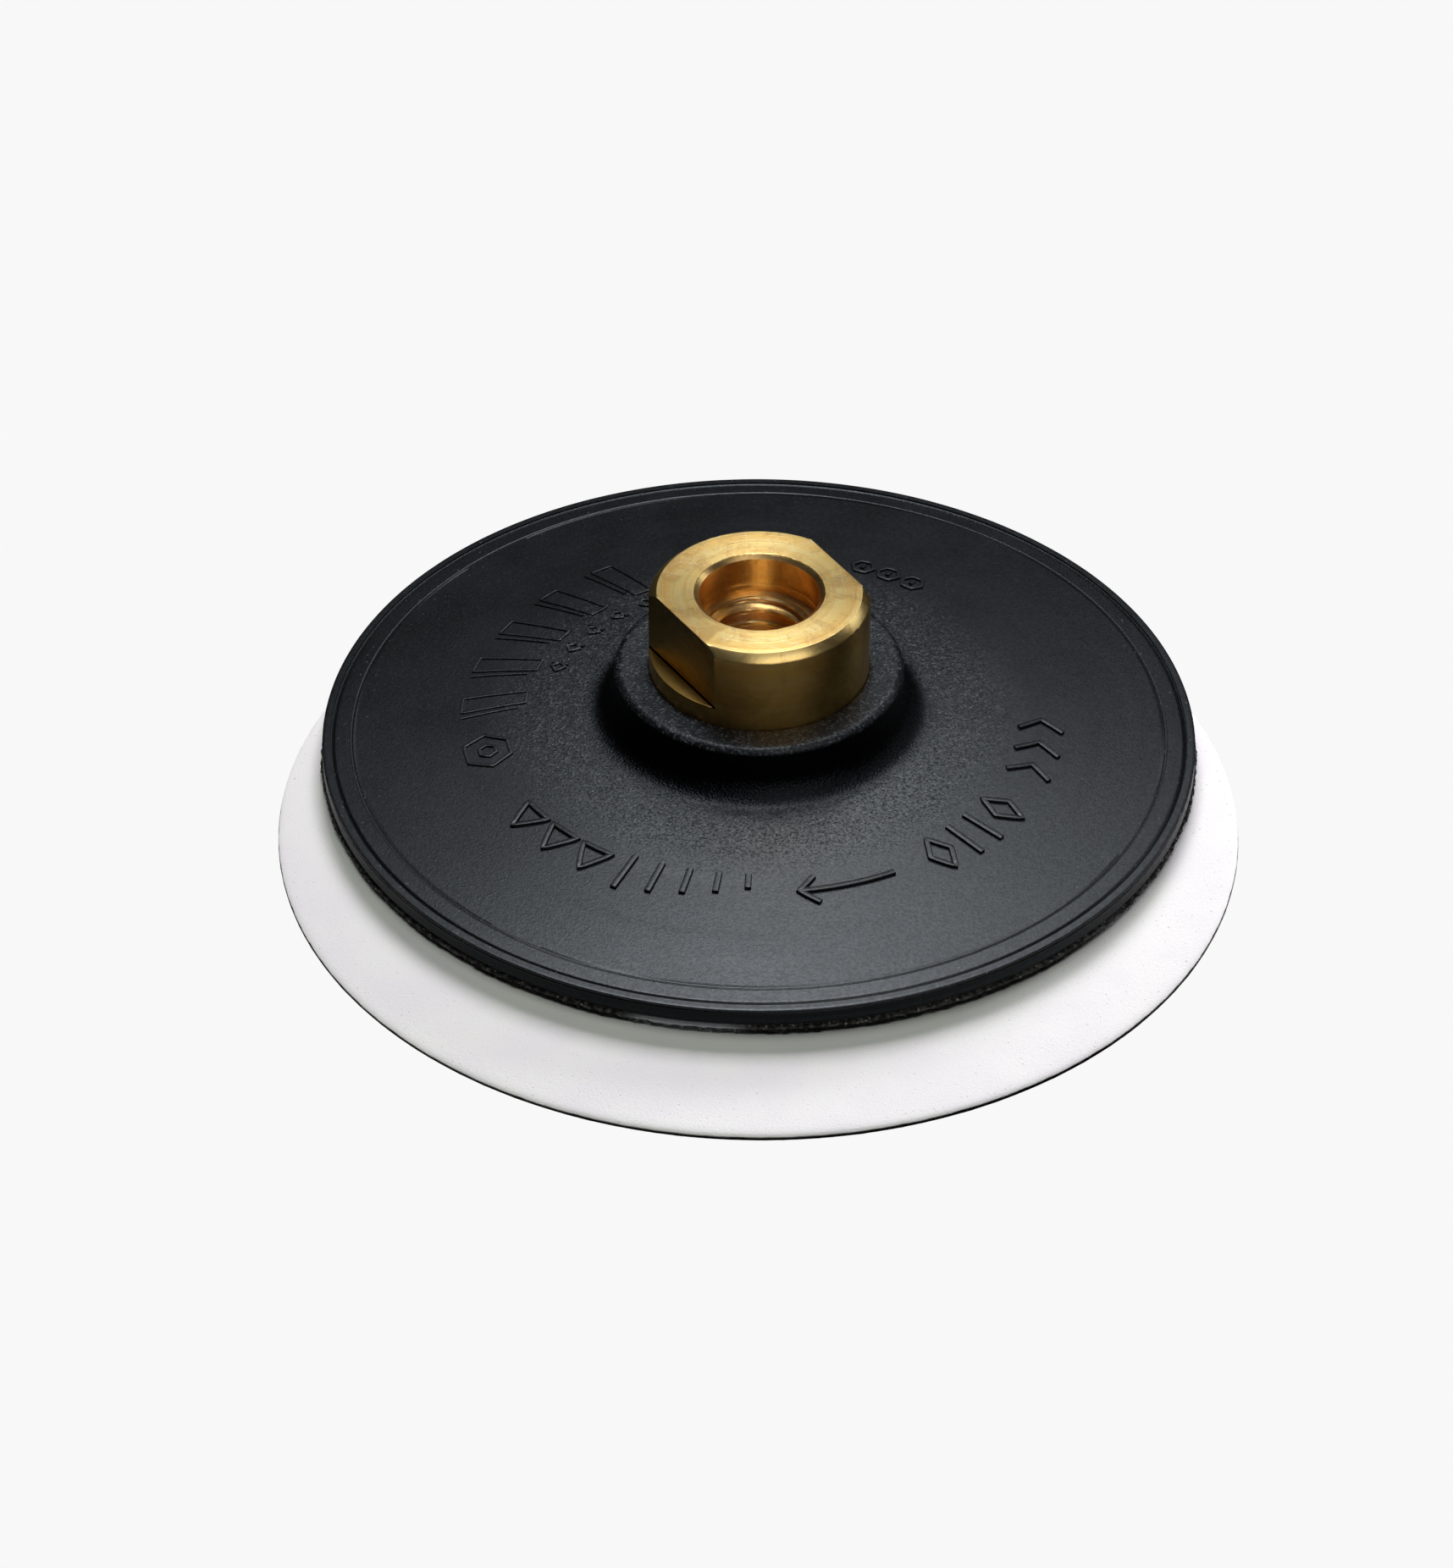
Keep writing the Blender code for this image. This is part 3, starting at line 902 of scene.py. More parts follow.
def plate_rows(angles):
    """Section of the plate: underside edge, wall, bead, face, fillet, boss, pocket and hole."""
    base = PLATE_LOW.z
    rows = [(r * MM, base) for r in (14.0, 30.0, 48.0, 56.6)]
    rows += arc((PAD_RADIUS - 0.3 * MM, base + 0.3 * MM), 0.3 * MM, -90, 0, 4)
    wall = ripple(angles, 3, (3, 0.02 * MM), (11, 0.012 * MM), (37, 0.006 * MM))
    for share in (0.15, 0.35, 0.55, 0.75, 0.88):
        height = base + 0.3 * MM + share * (BEAD_CENTRE_Z - base - 0.3 * MM)
        rows.append((PAD_RADIUS - 0.05 * MM + wall * 0.5 - 0.12 * MM * math.sin(share * math.pi), height))
    nicks = ripple(angles, 5, (23, 0.010 * MM), (61, 0.008 * MM), (131, 0.006 * MM))
    for radius, height in ((57.44, 4.12), (57.485, 4.18), (57.45, 4.23), (57.42, 4.26), (57.46, 4.32)):
        rows.append((radius * MM, height * MM + nicks * 0.3))
    corner = 0.20 * MM
    rows += [
        (r - 0.01 * MM, z + nicks * 0.3)
        for r, z in arc((PAD_RADIUS - corner, RIM_LAND_Z - corner), corner, 0, 84, 8)
    ]
    land = PAD_RADIUS - np.array([0.30, 0.45, 0.60, 0.80, 0.98, 1.06]) * MM
    rows += [(r, RIM_LAND_Z + 0.09 * (PAD_RADIUS - r) + nicks * 0.3) for r in land]
    face = np.concatenate([
        np.arange(56.36, 55.7, -0.04), np.arange(55.5, 54.1, -0.35), np.arange(53.9, 53.3, -0.04),
        np.arange(52.9, 24.0, -0.8), [23.2],
    ]) * MM
    for i, radius in enumerate(face):
        swell = ripple(angles, 40 + i // 6, (2, 0.012 * MM), (5, 0.008 * MM), (9, 0.004 * MM))
        rows.append((radius, plate_surface(radius) + swell * min(1.0, (PAD_RADIUS - radius) / (4 * MM))))
    rows += arc((PLATE_FOOT, cone_height(PLATE_FOOT) + BOSS_FILLET), BOSS_FILLET, 268, 180, 14)
    edge_centre = (BOSS_RADIUS - BOSS_EDGE, BOSS_TOP - BOSS_EDGE)
    rows += [(BOSS_RADIUS, z) for z in np.linspace(12.3 * MM, edge_centre[1] - 0.3 * MM, 4)]
    worn = ripple(angles, 9, (7, 0.010 * MM), (19, 0.008 * MM), (43, 0.006 * MM))
    edge = arc(edge_centre, BOSS_EDGE, 0, 90, 10)
    rows += [(r + worn * 0.6, z + worn * 0.3 - 0.01 * MM) for r, z in edge]
    for radius, drop in ((17.3, 0.02), (16.6, 0.05), (15.9, 0.06), (15.2, 0.05), (14.75, 0.05)):
        rows.append((radius * MM, BOSS_TOP - drop * MM))
    rows += [(14.50 * MM, BOSS_TOP - 0.12 * MM), (14.42 * MM, BOSS_TOP - 0.30 * MM)]
    lobes = FLANGE_RADIUS + FLANGE_LOBE_HEIGHT * np.cos(FLANGE_LOBES * angles) + 0.1 * MM
    snug = 0.1 * MM
    rows += [
        (HUB_RADIUS + 0.02 * MM, NECK_TOP - snug), (NECK_RADIUS + snug, NECK_TOP - snug),
        (NECK_RADIUS + snug, FLANGE_TOP + snug), (lobes, FLANGE_TOP + snug),
        (lobes, FLANGE_BOTTOM - snug), (NECK_RADIUS + snug, FLANGE_BOTTOM - snug),
        (NECK_RADIUS + snug, HUB_BOTTOM - snug), (PLATE_HOLE, HUB_BOTTOM - snug),
        (PLATE_HOLE, base + 0.2 * MM), (PLATE_HOLE + 0.2 * MM, base),
    ]
    return rows


def make_plate(material):
    angles = spread(PLATE_STEPS)
    plate = revolved("moulded_plate", plate_rows(angles), angles)
    return place(plate, "backing_pad", "plate_nylon", material, "backing_plate")


# ---------------------------------------------------------------- raised marks


def polygon(sides, radius, turn=0.0):
    return arc((0.0, 0.0), radius, turn, turn + 360 - 360 / sides, sides - 1)


def chevron(width, height):
    return [[(-width, -height), (width, 0.0), (-width, height)]]


def direction_arrow(half_length, head):
    """A long line along the ring with an arrowhead at its clockwise end."""
    shaft = [(half_length * (1 - 2 * i / 12), 0.0) for i in range(13)]
    return [shaft, [(-half_length + head, head), (-half_length, 0.0), (-half_length + head, -head)]]


def mark_groups():
    """Marks as (angle, ring radius, open strokes, closed strokes, line width), sizes in mm."""
    groups = []
    for angle in (-3.0, -10.5, -18.0):
        groups.append((angle, MARK_RING_MM, chevron(1.1, 2.9), [], 0.66))
    lozenge = [(0.0, -3.0), (1.7, 0.0), (0.0, 3.0), (-1.7, 0.0)]
    for angle in (-32.0, -51.0):
        groups.append((angle, MARK_RING_MM, [], [lozenge], 0.66))
    for angle in (-39.0, -44.5):
        groups.append((angle, MARK_RING_MM, [[(0.0, -3.1), (0.0, 3.1)]], [], 0.72))
    groups.append((-72.0, MARK_RING_MM, direction_arrow(6.4, 2.3), [], 0.70))
    for step, angle in enumerate((-92.0, -98.3, -104.6, -110.9, -117.2)):
        reach = 2.4 + 0.95 * step
        groups.append((angle, MARK_RING_MM, [[(0.0, -3.1), (0.0, -3.1 + reach)]], [], 0.74))
    for angle in (-125.5, -134.5, -143.5):
        groups.append((angle, 36.6, [], [polygon(3, 2.7, 90.0)], 0.64))
    groups.append((-167.0, 36.3, [], [polygon(6, 3.3), polygon(6, 1.2)], 0.42))
    slanted = [(-2.2, -4.2), (0.6, -4.2), (2.2, 4.2), (-0.6, 4.2)]
    for angle in (176.0, 162.5, 149.0, 135.5, 122.0):
        groups.append((angle, 35.0, [[(1.7, -3.2), (3.2, 4.2)]], [slanted], 0.36))
    for angle in (161.0, 151.5, 142.0, 132.5, 123.0):
        groups.append((angle, 28.2, [[(-0.8, -1.2), (-0.8, 1.2)]], [polygon(4, 0.95)], 0.46))
    for angle in (67.0, 61.0, 55.0):
        groups.append((angle, 36.1, [[(0.0, -0.5), (0.0, 0.5)]], [polygon(6, 1.55)], 0.50))
    return groups


def stroke_points(stroke, closed):
    """A stroke's points with extra ones between, so that it follows the ring and the cone."""
    ends = list(zip(stroke, stroke[1:] + stroke[:1])) if closed else list(zip(stroke, stroke[1:]))
    points = []
    for start, end in ends:
        steps = max(1, int(math.dist(start, end) / STROKE_STEP_MM))
        points += [
            (start[0] + (end[0] - start[0]) * i / steps, start[1] + (end[1] - start[1]) * i / steps)
            for i in range(steps)
        ]
    return points if closed else points + [stroke[-1]]


def on_plate(angle, ring, point):
    """Place a mark's point (along the ring, outwards) on the plate's face."""
    turn = math.radians(angle) + point[0] / ring
    radius = (ring + point[1]) * MM
    return (radius * math.cos(turn), radius * math.sin(turn), cone_height(radius), 1.0)


def mark_curve(groups, width):
    """One curve object with every stroke of a given line width."""
    curve = bpy.data.curves.new("mark_lines", "CURVE")
    curve.dimensions = "3D"
    for angle, ring, open_strokes, closed_strokes, line in groups:
        if line != width:
            continue
        for closed, strokes in ((False, open_strokes), (True, closed_strokes)):
            for stroke in strokes:
                points = stroke_points(stroke, closed)
                spline = curve.splines.new("POLY")
                spline.points.add(len(points) - 1)
                for target, point in zip(spline.points, points):
                    target.co = on_plate(angle, ring, point)
                spline.use_cyclic_u = closed
    return new_object("mark_lines", curve)


def make_marks(material):
    """Raised marks in place of lettering: chevrons, lozenges, bars, an arrow, a bar scale and blanks."""
    groups = mark_groups()
    for number, width in enumerate(sorted({g[4] for g in groups})):
        depth = 2 * min(MARK_HEIGHT, 0.62 * width * MM)
        marks = run_tree(f"raised_marks_{number}", mark_curve(groups, width), SWEEP, {
            "Width": 1.15 * width * MM, "Depth": depth, "Corner": 0.16 * depth, "Finish": material,
        })
        place(marks, "backing_pad", "plate_nylon", material)


# ---------------------------------------------------------------- brass hub


def hub_angles():
    """Angles round the hub, with extra ones where the flats meet the round wall."""
    angles = list(spread(HUB_STEPS))
    for side in (0, 1):
        middle = FLAT_ANGLE + side * math.pi
        for radius in (HUB_RADIUS, HUB_RADIUS - HUB_CHAMFER):
            reach = math.acos(FLAT_HALF_WIDTH / radius)
            for sign in (-1, 1):
                angles += [middle + sign * (reach + math.radians(extra)) for extra in (-0.25, 0.0, 0.25)]
    angles = np.sort(np.mod(angles, 2 * math.pi))
    keep = np.append(np.diff(angles) > math.radians(0.12), True)
    return angles[keep]


def flat_reach(angles):
    """Distance from the axis to the nearer flat along each angle; far where no flat is met."""
    reach = np.full(len(angles), 1.0)
    for side in (0, 1):
        facing = np.cos(angles - FLAT_ANGLE - side * math.pi)
        reach = np.where(facing > 0.5, np.minimum(reach, FLAT_HALF_WIDTH / np.maximum(facing, 0.5)), reach)
    return reach


def thread_wall(angles, height):
    """Radius of the right-hand thread at a height, with slightly rounded crests."""
    turn = np.mod((height + THREAD_START) / THREAD_PITCH - angles / (2 * math.pi), 1.0)
    from_crest = np.minimum(turn, 1.0 - turn)
    share = np.clip((from_crest - 0.10) / (0.455 - 0.10), 0.0, 1.0)
    share = share - 0.06 * np.sin(2 * math.pi * share)
    return THREAD_MINOR + share * (THREAD_MAJOR - THREAD_MINOR)


def hub_rows(angles):
    """Section of the hub: flange, collar, ledge, flats, chamfer, top, bore and thread."""
    lobes = FLANGE_RADIUS + FLANGE_LOBE_HEIGHT * np.cos(FLANGE_LOBES * angles)
    rows = [
        (NECK_RADIUS, HUB_BOTTOM), (NECK_RADIUS, FLANGE_BOTTOM), (lobes, FLANGE_BOTTOM),
        (lobes, FLANGE_TOP), (NECK_RADIUS, FLANGE_TOP), (NECK_RADIUS, NECK_TOP),
        (HUB_RADIUS - 0.5 * MM, NECK_TOP), (HUB_RADIUS, NECK_TOP + 0.5 * MM),
    ]
    dents = ripple(angles, 21, (5, 0.010 * MM), (17, 0.008 * MM), (47, 0.006 * MM), (113, 0.005 * MM))
    rows += [(HUB_RADIUS + dents * 0.2, z) for z in np.linspace(14.5 * MM, FLAT_BOTTOM - 0.12 * MM, 5)]
    wall = np.minimum(HUB_RADIUS, flat_reach(angles))
    cut = HUB_RADIUS - wall
    ledge_edge = np.minimum(0.10 * MM, cut)
    rows.append((HUB_RADIUS - 0.3 * ledge_edge, FLAT_BOTTOM - 0.03 * MM + dents * 0.1))
    rows.append((HUB_RADIUS - ledge_edge, FLAT_BOTTOM + dents * 0.1))
    for share in (0.33, 0.66, 0.97, 1.0):
        dip = 0.02 * MM if share == 0.97 else 0.0
        rows.append((HUB_RADIUS - ledge_edge - (cut - ledge_edge) * share, FLAT_BOTTOM - dip))
    chamfer_inner = HUB_RADIUS - HUB_CHAMFER
    wall_top = HUB_TOP - np.maximum(0.0, wall - chamfer_inner)
    rows += [(wall, FLAT_BOTTOM + 0.08 * MM)]
    for share in (0.2, 0.4, 0.6, 0.8, 0.95):
        rows.append((wall, FLAT_BOTTOM + (wall_top - FLAT_BOTTOM) * share))
    soft = 0.07 * MM
    rows.append((wall, wall_top - soft))
    rows.append((wall - 0.3 * soft + dents * 0.3, wall_top - 0.3 * soft + dents * 0.3))
    rim = np.minimum(wall, chamfer_inner)
    inset = 0.4 * soft * (wall <= rim)
    for share in (0.12, 0.5, 0.88):
        rows.append((wall + (rim - wall) * share - inset, wall_top + (HUB_TOP - wall_top) * share))
    rows.append((rim - 0.5 * soft, HUB_TOP - 0.15 * soft + dents * 0.15))
    for share in (0.05, 0.2, 0.4, 0.6, 0.8, 0.93):
        rows.append((rim + (LIP_RADIUS - rim) * share, HUB_TOP))
    burr = ripple(angles, 33, (9, 0.012 * MM), (31, 0.012 * MM), (71, 0.010 * MM))
    rows.append((LIP_RADIUS + 0.05 * MM + burr, HUB_TOP - 0.01 * MM))
    rows.append((LIP_RADIUS - 0.08 * MM + burr, HUB_TOP - 0.07 * MM))
    for share in (0.3, 0.6, 0.9, 1.0):
        rows.append((LIP_RADIUS + (BORE_RADIUS - LIP_RADIUS) * share, HUB_TOP - LIP_DEPTH * share))
    top = HUB_TOP - LIP_DEPTH
    for share in (0.08, 0.3, 0.55, 0.75, 0.78, 0.81, 0.98, 1.0):
        step = 0.04 * MM if share == 0.78 else 0.0
        rows.append((BORE_RADIUS + step, top + (BORE_FLOOR - top) * share))
    length = BORE_FLOOR - HUB_BOTTOM
    count = int(length / THREAD_PITCH * ROWS_PER_TURN)
    for i in range(1, count + 1):
        height = BORE_FLOOR - length * i / count
        top_cone = THREAD_MAJOR + 0.05 * MM - 1.5 * max(0.0, BORE_FLOOR - height - 0.25 * MM)
        bottom_cone = THREAD_MINOR + 1.2 * MM - (height - HUB_BOTTOM)
        rows.append((np.maximum(thread_wall(angles, height), max(top_cone, bottom_cone)), height))
    return rows


def make_hub(material):
    angles = hub_angles()
    hub = revolved("brass_hub", hub_rows(angles), angles, sharp=17.0)
    return place(hub, "backing_pad", "brass_hub", material, "hub_insert")


# ---------------------------------------------------------------- hook facing


def make_hook_web(material):
    """The woven tape that the hooks stand on, with a ragged cut edge."""
    angles = spread(WEB_STEPS)
    rng = np.random.default_rng(7)
    bottom = HOOK_HIGH.z - WEB_THICK
    torn = ripple(angles, 61, (29, 0.05 * MM), (83, 0.05 * MM), (173, 0.05 * MM))
    torn += rng.normal(0, 0.035 * MM, WEB_STEPS)
    sag = ripple(angles, 62, (13, 0.05 * MM), (57, 0.05 * MM)) + rng.normal(0, 0.03 * MM, WEB_STEPS)
    edge = FACING_RADIUS - 0.20 * MM
    rows = [
        (FACING_HOLE, bottom), (30 * MM, bottom), (50 * MM, bottom), (56.6 * MM, bottom),
        (edge - 0.35 * MM + torn * 0.5, bottom - 0.08 * MM + sag * 0.5),
        (edge - 0.05 * MM + torn, bottom + 0.02 * MM + sag),
        (edge + np.roll(torn, 5), bottom + 0.14 * MM + np.roll(sag, 3) * 0.6),
        (edge - 0.10 * MM + np.roll(torn, 11) * 0.8, HOOK_HIGH.z - 0.06 * MM),
        (edge - 0.45 * MM, HOOK_HIGH.z), (50 * MM, HOOK_HIGH.z), (30 * MM, HOOK_HIGH.z),
        (FACING_HOLE, HOOK_HIGH.z),
    ]
    web = revolved("hook_web", rows, angles)
    return place(web, "backing_pad", "hook_nylon", material, "hook_facing")


def ring_grid(inner, outer, spacing, seed, jitter):
    """Points of a hexagonal grid inside a ring, each moved a little."""
    rng = np.random.default_rng(seed)
    row_step = spacing * math.sqrt(3) / 2
    count = int(outer / row_step) + 1
    points = []
    for row in range(-count, count + 1):
        shift = spacing / 2 if row % 2 else 0.0
        for column in range(-int(outer / spacing) - 1, int(outer / spacing) + 2):
            x = column * spacing + shift + rng.uniform(-jitter, jitter)
            y = row * row_step + rng.uniform(-jitter, jitter)
            if inner < math.hypot(x, y) < outer:
                points.append((x, y))
    return np.array(points)


def make_hooks(material):
    """Mushroom-headed hooks in rows under the web."""
    height = HOOK_HIGH.z - WEB_THICK - HOOK_LOW.z
    path = [(0, 0), (0, -0.70 * height), (0, -0.74 * height), (0, -0.93 * height), (0, -height)]
    radii = [0.13 * MM, 0.11 * MM, 0.28 * MM, 0.27 * MM, 0.12 * MM]
    prototype = bent_tube("hook", path, radii, 5)
    flat = ring_grid(FACING_HOLE + 0.5 * MM, FACING_RADIUS - 0.7 * MM, HOOK_SPACING, 11, 0.12 * MM)
    points = np.column_stack([flat, np.full(len(flat), HOOK_LOW.z + height)])
    hooks = scatter(
        "hook_heads", points, np.zeros((len(points), 3)), prototype, material,
        (0.93, 1.0), (0.10, 0.10, math.pi), 12,
    )
    return place(hooks, "backing_pad", "hook_nylon", material)


def make_fringe(material):
    """Frayed threads and clipped hooks along the facing's cut edge."""
    rng = np.random.default_rng(23)
    count = 1500
    turn = rng.uniform(0, 2 * math.pi, count)
    radius = FACING_RADIUS - rng.uniform(0.35, 0.75, count) * MM
    height = rng.uniform(HOOK_LOW.z + 0.18 * MM, HOOK_HIGH.z - 0.30 * MM, count)
    points = np.column_stack([radius * np.cos(turn), radius * np.sin(turn), height])
    lift = rng.uniform(-0.2, 0.9, count)
    headings = np.column_stack([np.zeros(count), lift, turn + rng.normal(0, 0.8, count)])
    path = [(0, 0), (0.12 * MM, 0.015 * MM), (0.24 * MM, 0), (0.33 * MM, -0.05 * MM)]
    prototype = bent_tube("thread", path, [0.05 * MM, 0.055 * MM, 0.05 * MM, 0.02 * MM], 4)
    fringe = scatter(
        "frayed_edge", points, headings, prototype, material, (0.5, 1.1), (0.5, 0.3, 0.6), 24,
    )
    return place(fringe, "backing_pad", "hook_nylon", material)


# ---------------------------------------------------------------- abrasive disc


def make_loop_fabric(material):
    """The fabric layer, pressed thin at its die-cut edge."""
    angles = spread(SHEET_STEPS)
    top, base = LOOP_HIGH.z, LOOP_LOW.z
    rough = ripple(angles, 71, (41, 0.012 * MM), (97, 0.015 * MM), (211, 0.012 * MM))
    rows = [(0.4 * MM, top - 0.05 * MM)]
    for number, radius in enumerate(np.linspace(4, 58, 16)):
        pile = ripple(angles, 80 + number, (7, 0.006 * MM), (19, 0.006 * MM))
        rows.append((radius * MM, top - 0.04 * MM + pile))
    edge = DISC_RADIUS - 0.10 * MM
    rows += [
        (edge - 2.0 * MM, top - 0.04 * MM), (edge - 1.1 * MM, top - 0.06 * MM),
        (edge - 0.6 * MM, top - 0.10 * MM), (edge - 0.25 * MM + rough, top - 0.17 * MM),
        (edge - 0.07 * MM + rough, top - 0.26 * MM), (edge - 0.03 * MM + rough, base + 0.02 * MM),
        (edge - 0.08 * MM, base - 0.06 * MM), (LOOP_RADIUS + 0.02 * MM, base - 0.06 * MM),
        (LOOP_RADIUS + 0.02 * MM, base), (50 * MM, base), (20 * MM, base), (0.4 * MM, base),
    ]
    fabric = revolved("loop_fabric", rows, angles, DISC_Y, poles=True)
    return place(fabric, "abrasive_disc", "loop_fabric", material, "loop_facing")


def make_loop_pile(material):
    """Fine fibre loops standing in the fabric."""
    reach = 0.17 * MM
    path = [(reach * math.cos(t), 0.13 * MM * math.sin(t)) for t in np.linspace(0, math.pi, 5)]
    prototype = bent_tube("fibre_loop", path, [0.016 * MM] * 5, 3)
    flat = ring_grid(0.0, LOOP_RADIUS - 0.5 * MM, 1.38 * MM, 31, 0.6 * MM)
    points = np.column_stack([flat[:, 0], flat[:, 1] + DISC_Y, np.full(len(flat), LOOP_HIGH.z - 0.14 * MM)])
    pile = scatter(
        "loop_pile", points, np.zeros((len(points), 3)), prototype, material,
        (0.7, 1.0), (0.4, 0.4, math.pi), 32,
    )
    return place(pile, "abrasive_disc", "loop_fabric", material)


def make_backing(material):
    """The backing sheet with a slightly rough cut edge."""
    angles = spread(SHEET_STEPS)
    rng = np.random.default_rng(41)
    cut = ripple(angles, 42, (31, 0.010 * MM), (89, 0.012 * MM)) + rng.normal(0, 0.010 * MM, SHEET_STEPS)
    low, high = PAPER_LOW.z, PAPER_HIGH.z
    shown = (0.11 + 0.08 * np.cos(angles + 0.5)) * MM + np.abs(cut)
    edge = DISC_RADIUS - 0.08 * MM
    rows = [
        (0.4 * MM, high), (40 * MM, high), (edge - 0.30 * MM, high),
        (edge - 0.04 * MM + cut, high - 0.02 * MM), (edge + cut * 0.5, high - shown),
        (edge - 1.4 * (0.22 * MM - shown) - 0.02 * MM, low + 0.03 * MM),
        (edge - 1.4 * (0.25 * MM - shown) - 0.03 * MM, low), (40 * MM, low), (0.4 * MM, low),
    ]
    backing = revolved("backing_sheet", rows, angles, DISC_Y, poles=True)
    return place(backing, "abrasive_disc", "disc_paper", material, "disc_backing")


def make_abrasive(resin, grain):
    """The resin coat, lumpy over the grains, and the grains that stand out of it."""
    angles = spread(COAT_STEPS)
    rng = np.random.default_rng(51)
    high = GRIT_HIGH.z
    edge = DISC_RADIUS - 0.62 * MM
    rows = [(0.4 * MM, high), (40 * MM, high), (edge - 0.1 * MM, high)]
    rows.append((edge + rng.normal(0, 0.02 * MM, COAT_STEPS), high - 0.08 * MM))
    for radius in np.append(edge - 0.05 * MM, np.linspace(61.3, 1.0, 64) * MM):
        lumps = rng.normal(0, 0.018 * MM, COAT_STEPS).clip(-0.06 * MM, 0.06 * MM)
        rows.append((radius, COAT_UNDERSIDE + lumps))
    rows.append((0.4 * MM, COAT_UNDERSIDE))
    coat = revolved("resin_coat", rows, angles, DISC_Y, poles=True)
    place(coat, "abrasive_disc", "abrasive_grit", resin, "abrasive_coat")

    tall = 0.13 * MM
    path = [(0, -tall), (0.01 * MM, -0.35 * tall), (-0.01 * MM, 0.35 * tall), (0, tall)]
    prototype = bent_tube("grain", path, [0.03 * MM, 0.15 * MM, 0.13 * MM, 0.04 * MM], 4)
    flat = ring_grid(0.0, DISC_RADIUS - 0.75 * MM, 1.12 * MM, 52, 0.5 * MM)
    points = np.column_stack([flat[:, 0], flat[:, 1] + DISC_Y, np.full(len(flat), 0.165 * MM)])
    grains = scatter(
        "abrasive_grains", points, np.zeros((len(points), 3)), prototype, grain,
        (0.6, 1.0), (0.7, 0.7, math.pi), 53,
    )
    place(grains, "abrasive_disc", "abrasive_grit", grain)


# ---------------------------------------------------------------- stage, lights and camera


def make_floor():
    mesh = bpy.data.meshes.new("floor")
    corners = [(x * FLOOR_HALF, y * FLOOR_HALF, 0) for x, y in ((-1, -1), (1, -1), (1, 1), (-1, 1))]
    mesh.from_pydata(corners, [], [(0, 1, 2, 3)])
    mesh.materials.append(floor_material())
    new_object("floor", mesh)


def make_softbox(name, azimuth, elevation, size, watts, targets, tint=(1.0, 1.0, 1.0)):
    """A soft light for some of the pieces. Azimuth 0 is behind the pad (+Y), and 90 is to its right."""
    light = bpy.data.lights.new(name, "AREA")
    light.shape = "RECTANGLE"
    light.size, light.size_y = size
    light.energy = watts
    light.color = tint
    lamp = new_object(name, light)
    a, e = math.radians(azimuth), math.radians(elevation)
    toward = Vector((math.sin(a) * math.cos(e), math.cos(a) * math.cos(e), math.sin(e)))
    lamp.location = toward * LIGHT_DISTANCE
    lamp.rotation_euler = (-toward).to_track_quat("-Z", "Y").to_euler()
    lamp.visible_camera = False
    lamp.light_linking.receiver_collection = targets


def target_group(name, pieces):
    group = bpy.data.collections.new(name)
    for piece in pieces:
        group.objects.link(piece)
    return group


def make_lights(pad_pieces, disc_pieces):
    """Small high softboxes for the pad, and a lower key behind the disc that draws its shadow."""
    pad = target_group("pad_lights_only", pad_pieces)
    disc = target_group("disc_lights_only", disc_pieces)
    make_softbox("pad_top", -4, 70, (0.34, 0.34), 5.4, pad, COOL)
    make_softbox("pad_over", 0, 86, (0.30, 0.30), 2.0, pad, COOL)
    make_softbox("pad_back", 13, 52, (0.40, 0.40), 1.35, pad, COOL)
    make_softbox("pad_right", 62, 28, (0.34, 0.34), 0.65, pad, COOL)
    make_softbox("pad_front", 155, 42, (0.90, 0.50), 2.3, pad)
    make_softbox("disc_key", 4, 36, (0.42, 0.38), 13.2, disc, (1.0, 0.96, 1.0))
    make_softbox("disc_side", 36, 13, (0.70, 0.15), 14.0, disc, (1.0, 0.98, 1.0))
    make_softbox("disc_top", -60, 80, (0.80, 0.80), 4.7, disc, (0.95, 1.0, 0.88))


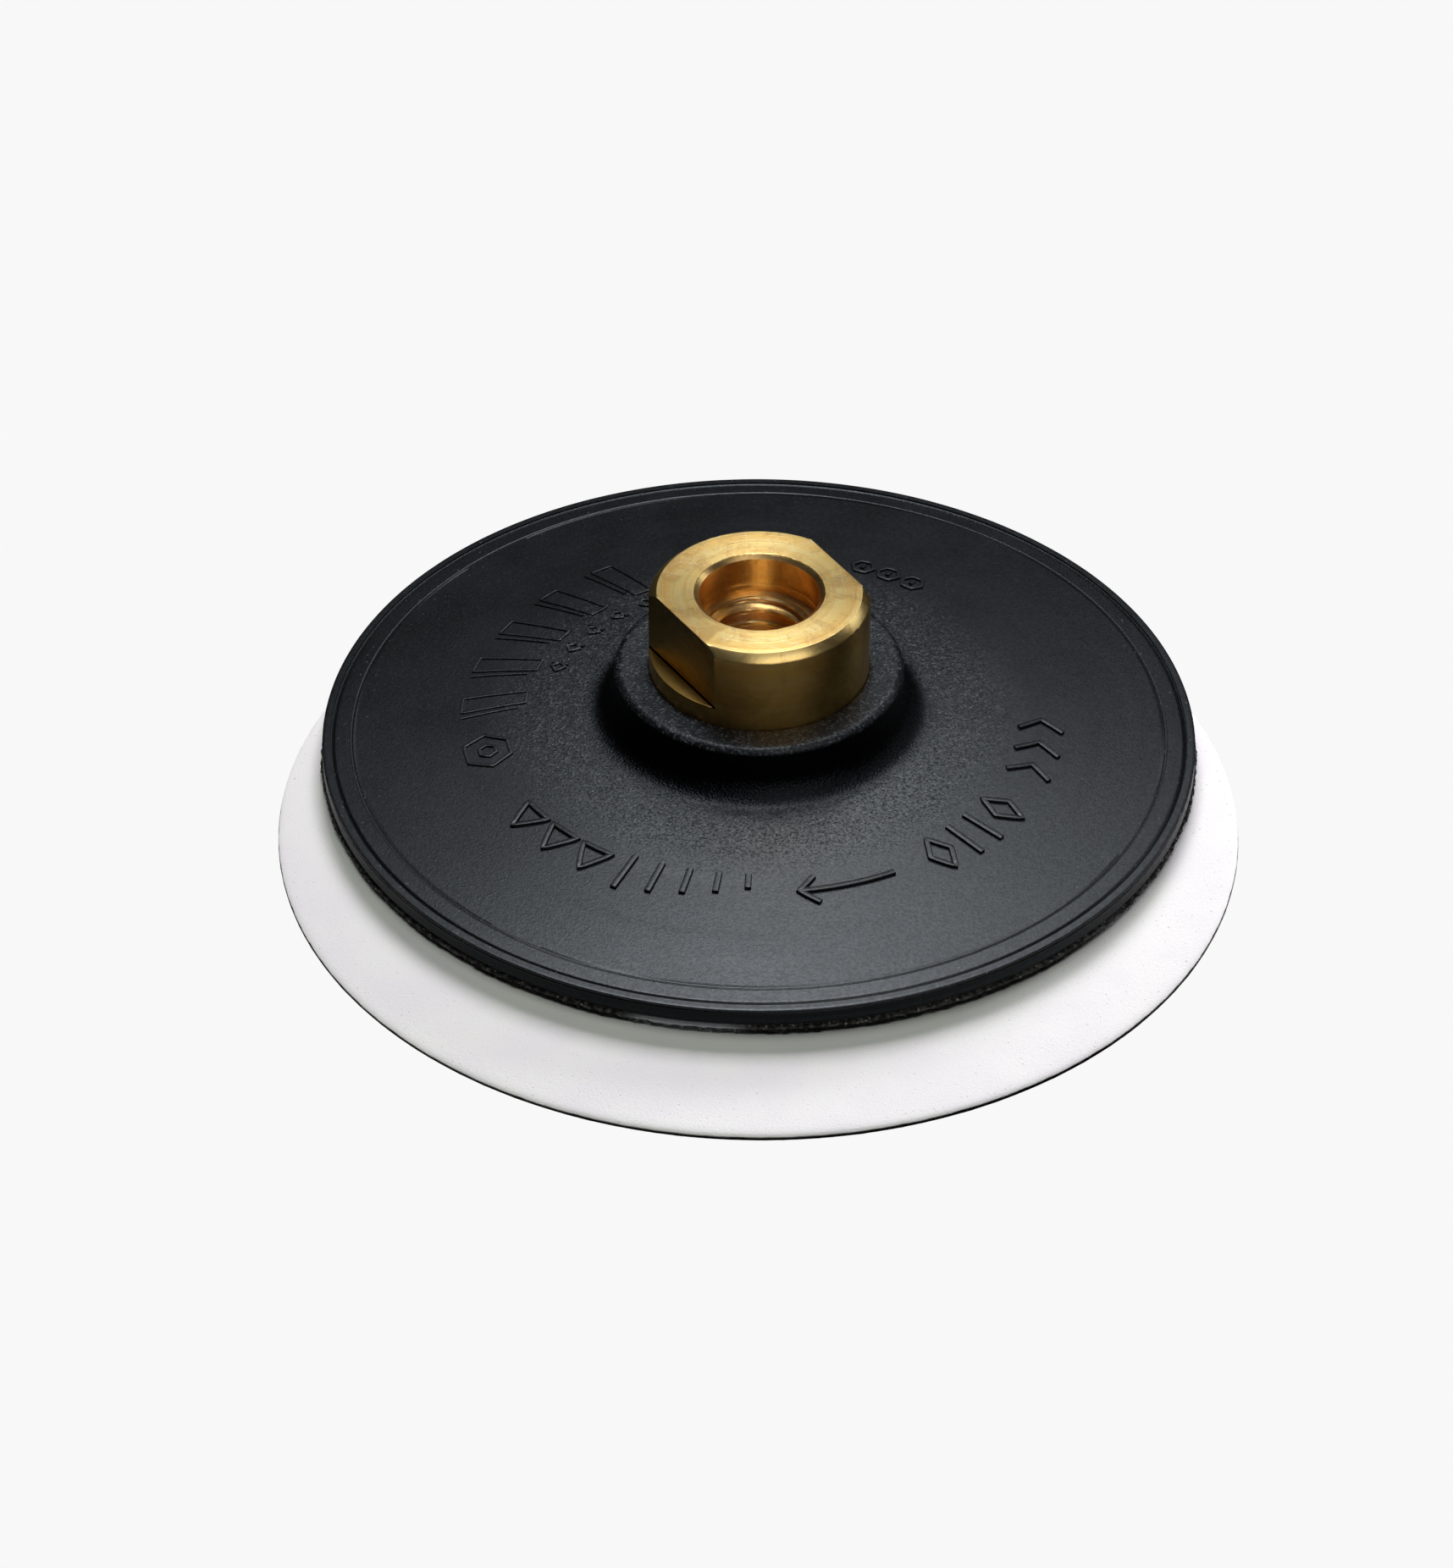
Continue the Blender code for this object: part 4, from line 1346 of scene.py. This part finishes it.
def make_world():
    """Dark room, pale where the camera looks past the floor."""
    world = bpy.data.worlds.new("studio")
    bpy.context.scene.world = world
    world.use_nodes = True
    tree = world.node_tree
    room = tree.nodes["Background"]
    room.inputs["Color"].default_value = (0.004, 0.004, 0.004, 1)
    pale = add_node(tree, "ShaderNodeBackground", {"Color": BACKDROP})
    surface = by_camera_ray(tree, room.outputs[0], pale.outputs[0])
    tree.links.new(surface, tree.nodes["World Output"].inputs["Surface"])


def make_camera():
    data = bpy.data.cameras.new("camera")
    data.lens = CAMERA_LENS
    data.clip_start = 0.01
    camera = new_object("camera", data)
    camera.location = (
        0.0, -CAMERA_DISTANCE * math.cos(CAMERA_ELEVATION),
        CAMERA_DISTANCE * math.sin(CAMERA_ELEVATION) + CAMERA_PIVOT_Z,
    )
    aim = CAMERA_AIM - camera.location
    camera.rotation_euler = aim.to_track_quat("-Z", "Y").to_euler()
    camera.rotation_euler.rotate_axis("Z", CAMERA_ROLL)
    bpy.context.scene.camera = camera
    bpy.context.scene.view_settings.view_transform = "Standard"


# ---------------------------------------------------------------- assembly


def main():
    nylon = plate_material()
    brass = brass_material()
    web_finish = fibre_material("hook_web_nylon", (0.012, 0.012, 0.012, 1), (0.110, 0.106, 0.100, 1), 0.75)
    thread_finish = fibre_material("frayed_thread", (0.030, 0.029, 0.028, 1), (0.150, 0.145, 0.135, 1), 0.7)
    velour = loop_material()
    make_plate(nylon)
    make_marks(nylon)
    make_hub(brass)
    make_hook_web(web_finish)
    make_hooks(web_finish)
    make_fringe(thread_finish)
    make_loop_fabric(velour)
    make_loop_pile(velour)
    make_backing(paper_material())
    make_abrasive(resin_material(), grain_material())
    for node, slot, dark, light in (
        ("facing_adhesive", "facing_glue", (0.03, 0.026, 0.02, 1), (0.10, 0.085, 0.06, 1)),
        ("loop_adhesive", "loop_glue", (0.55, 0.55, 0.52, 1), (0.72, 0.72, 0.68, 1)),
    ):
        glue = frame["nodes"][node]
        glue.data.materials.clear()
        glue.data.materials.append(glue_material(f"{node}_film", dark, light))
    make_floor()
    make_lights(pieces_on("backing_pad"), pieces_on("abrasive_disc"))
    make_world()
    make_camera()


main()
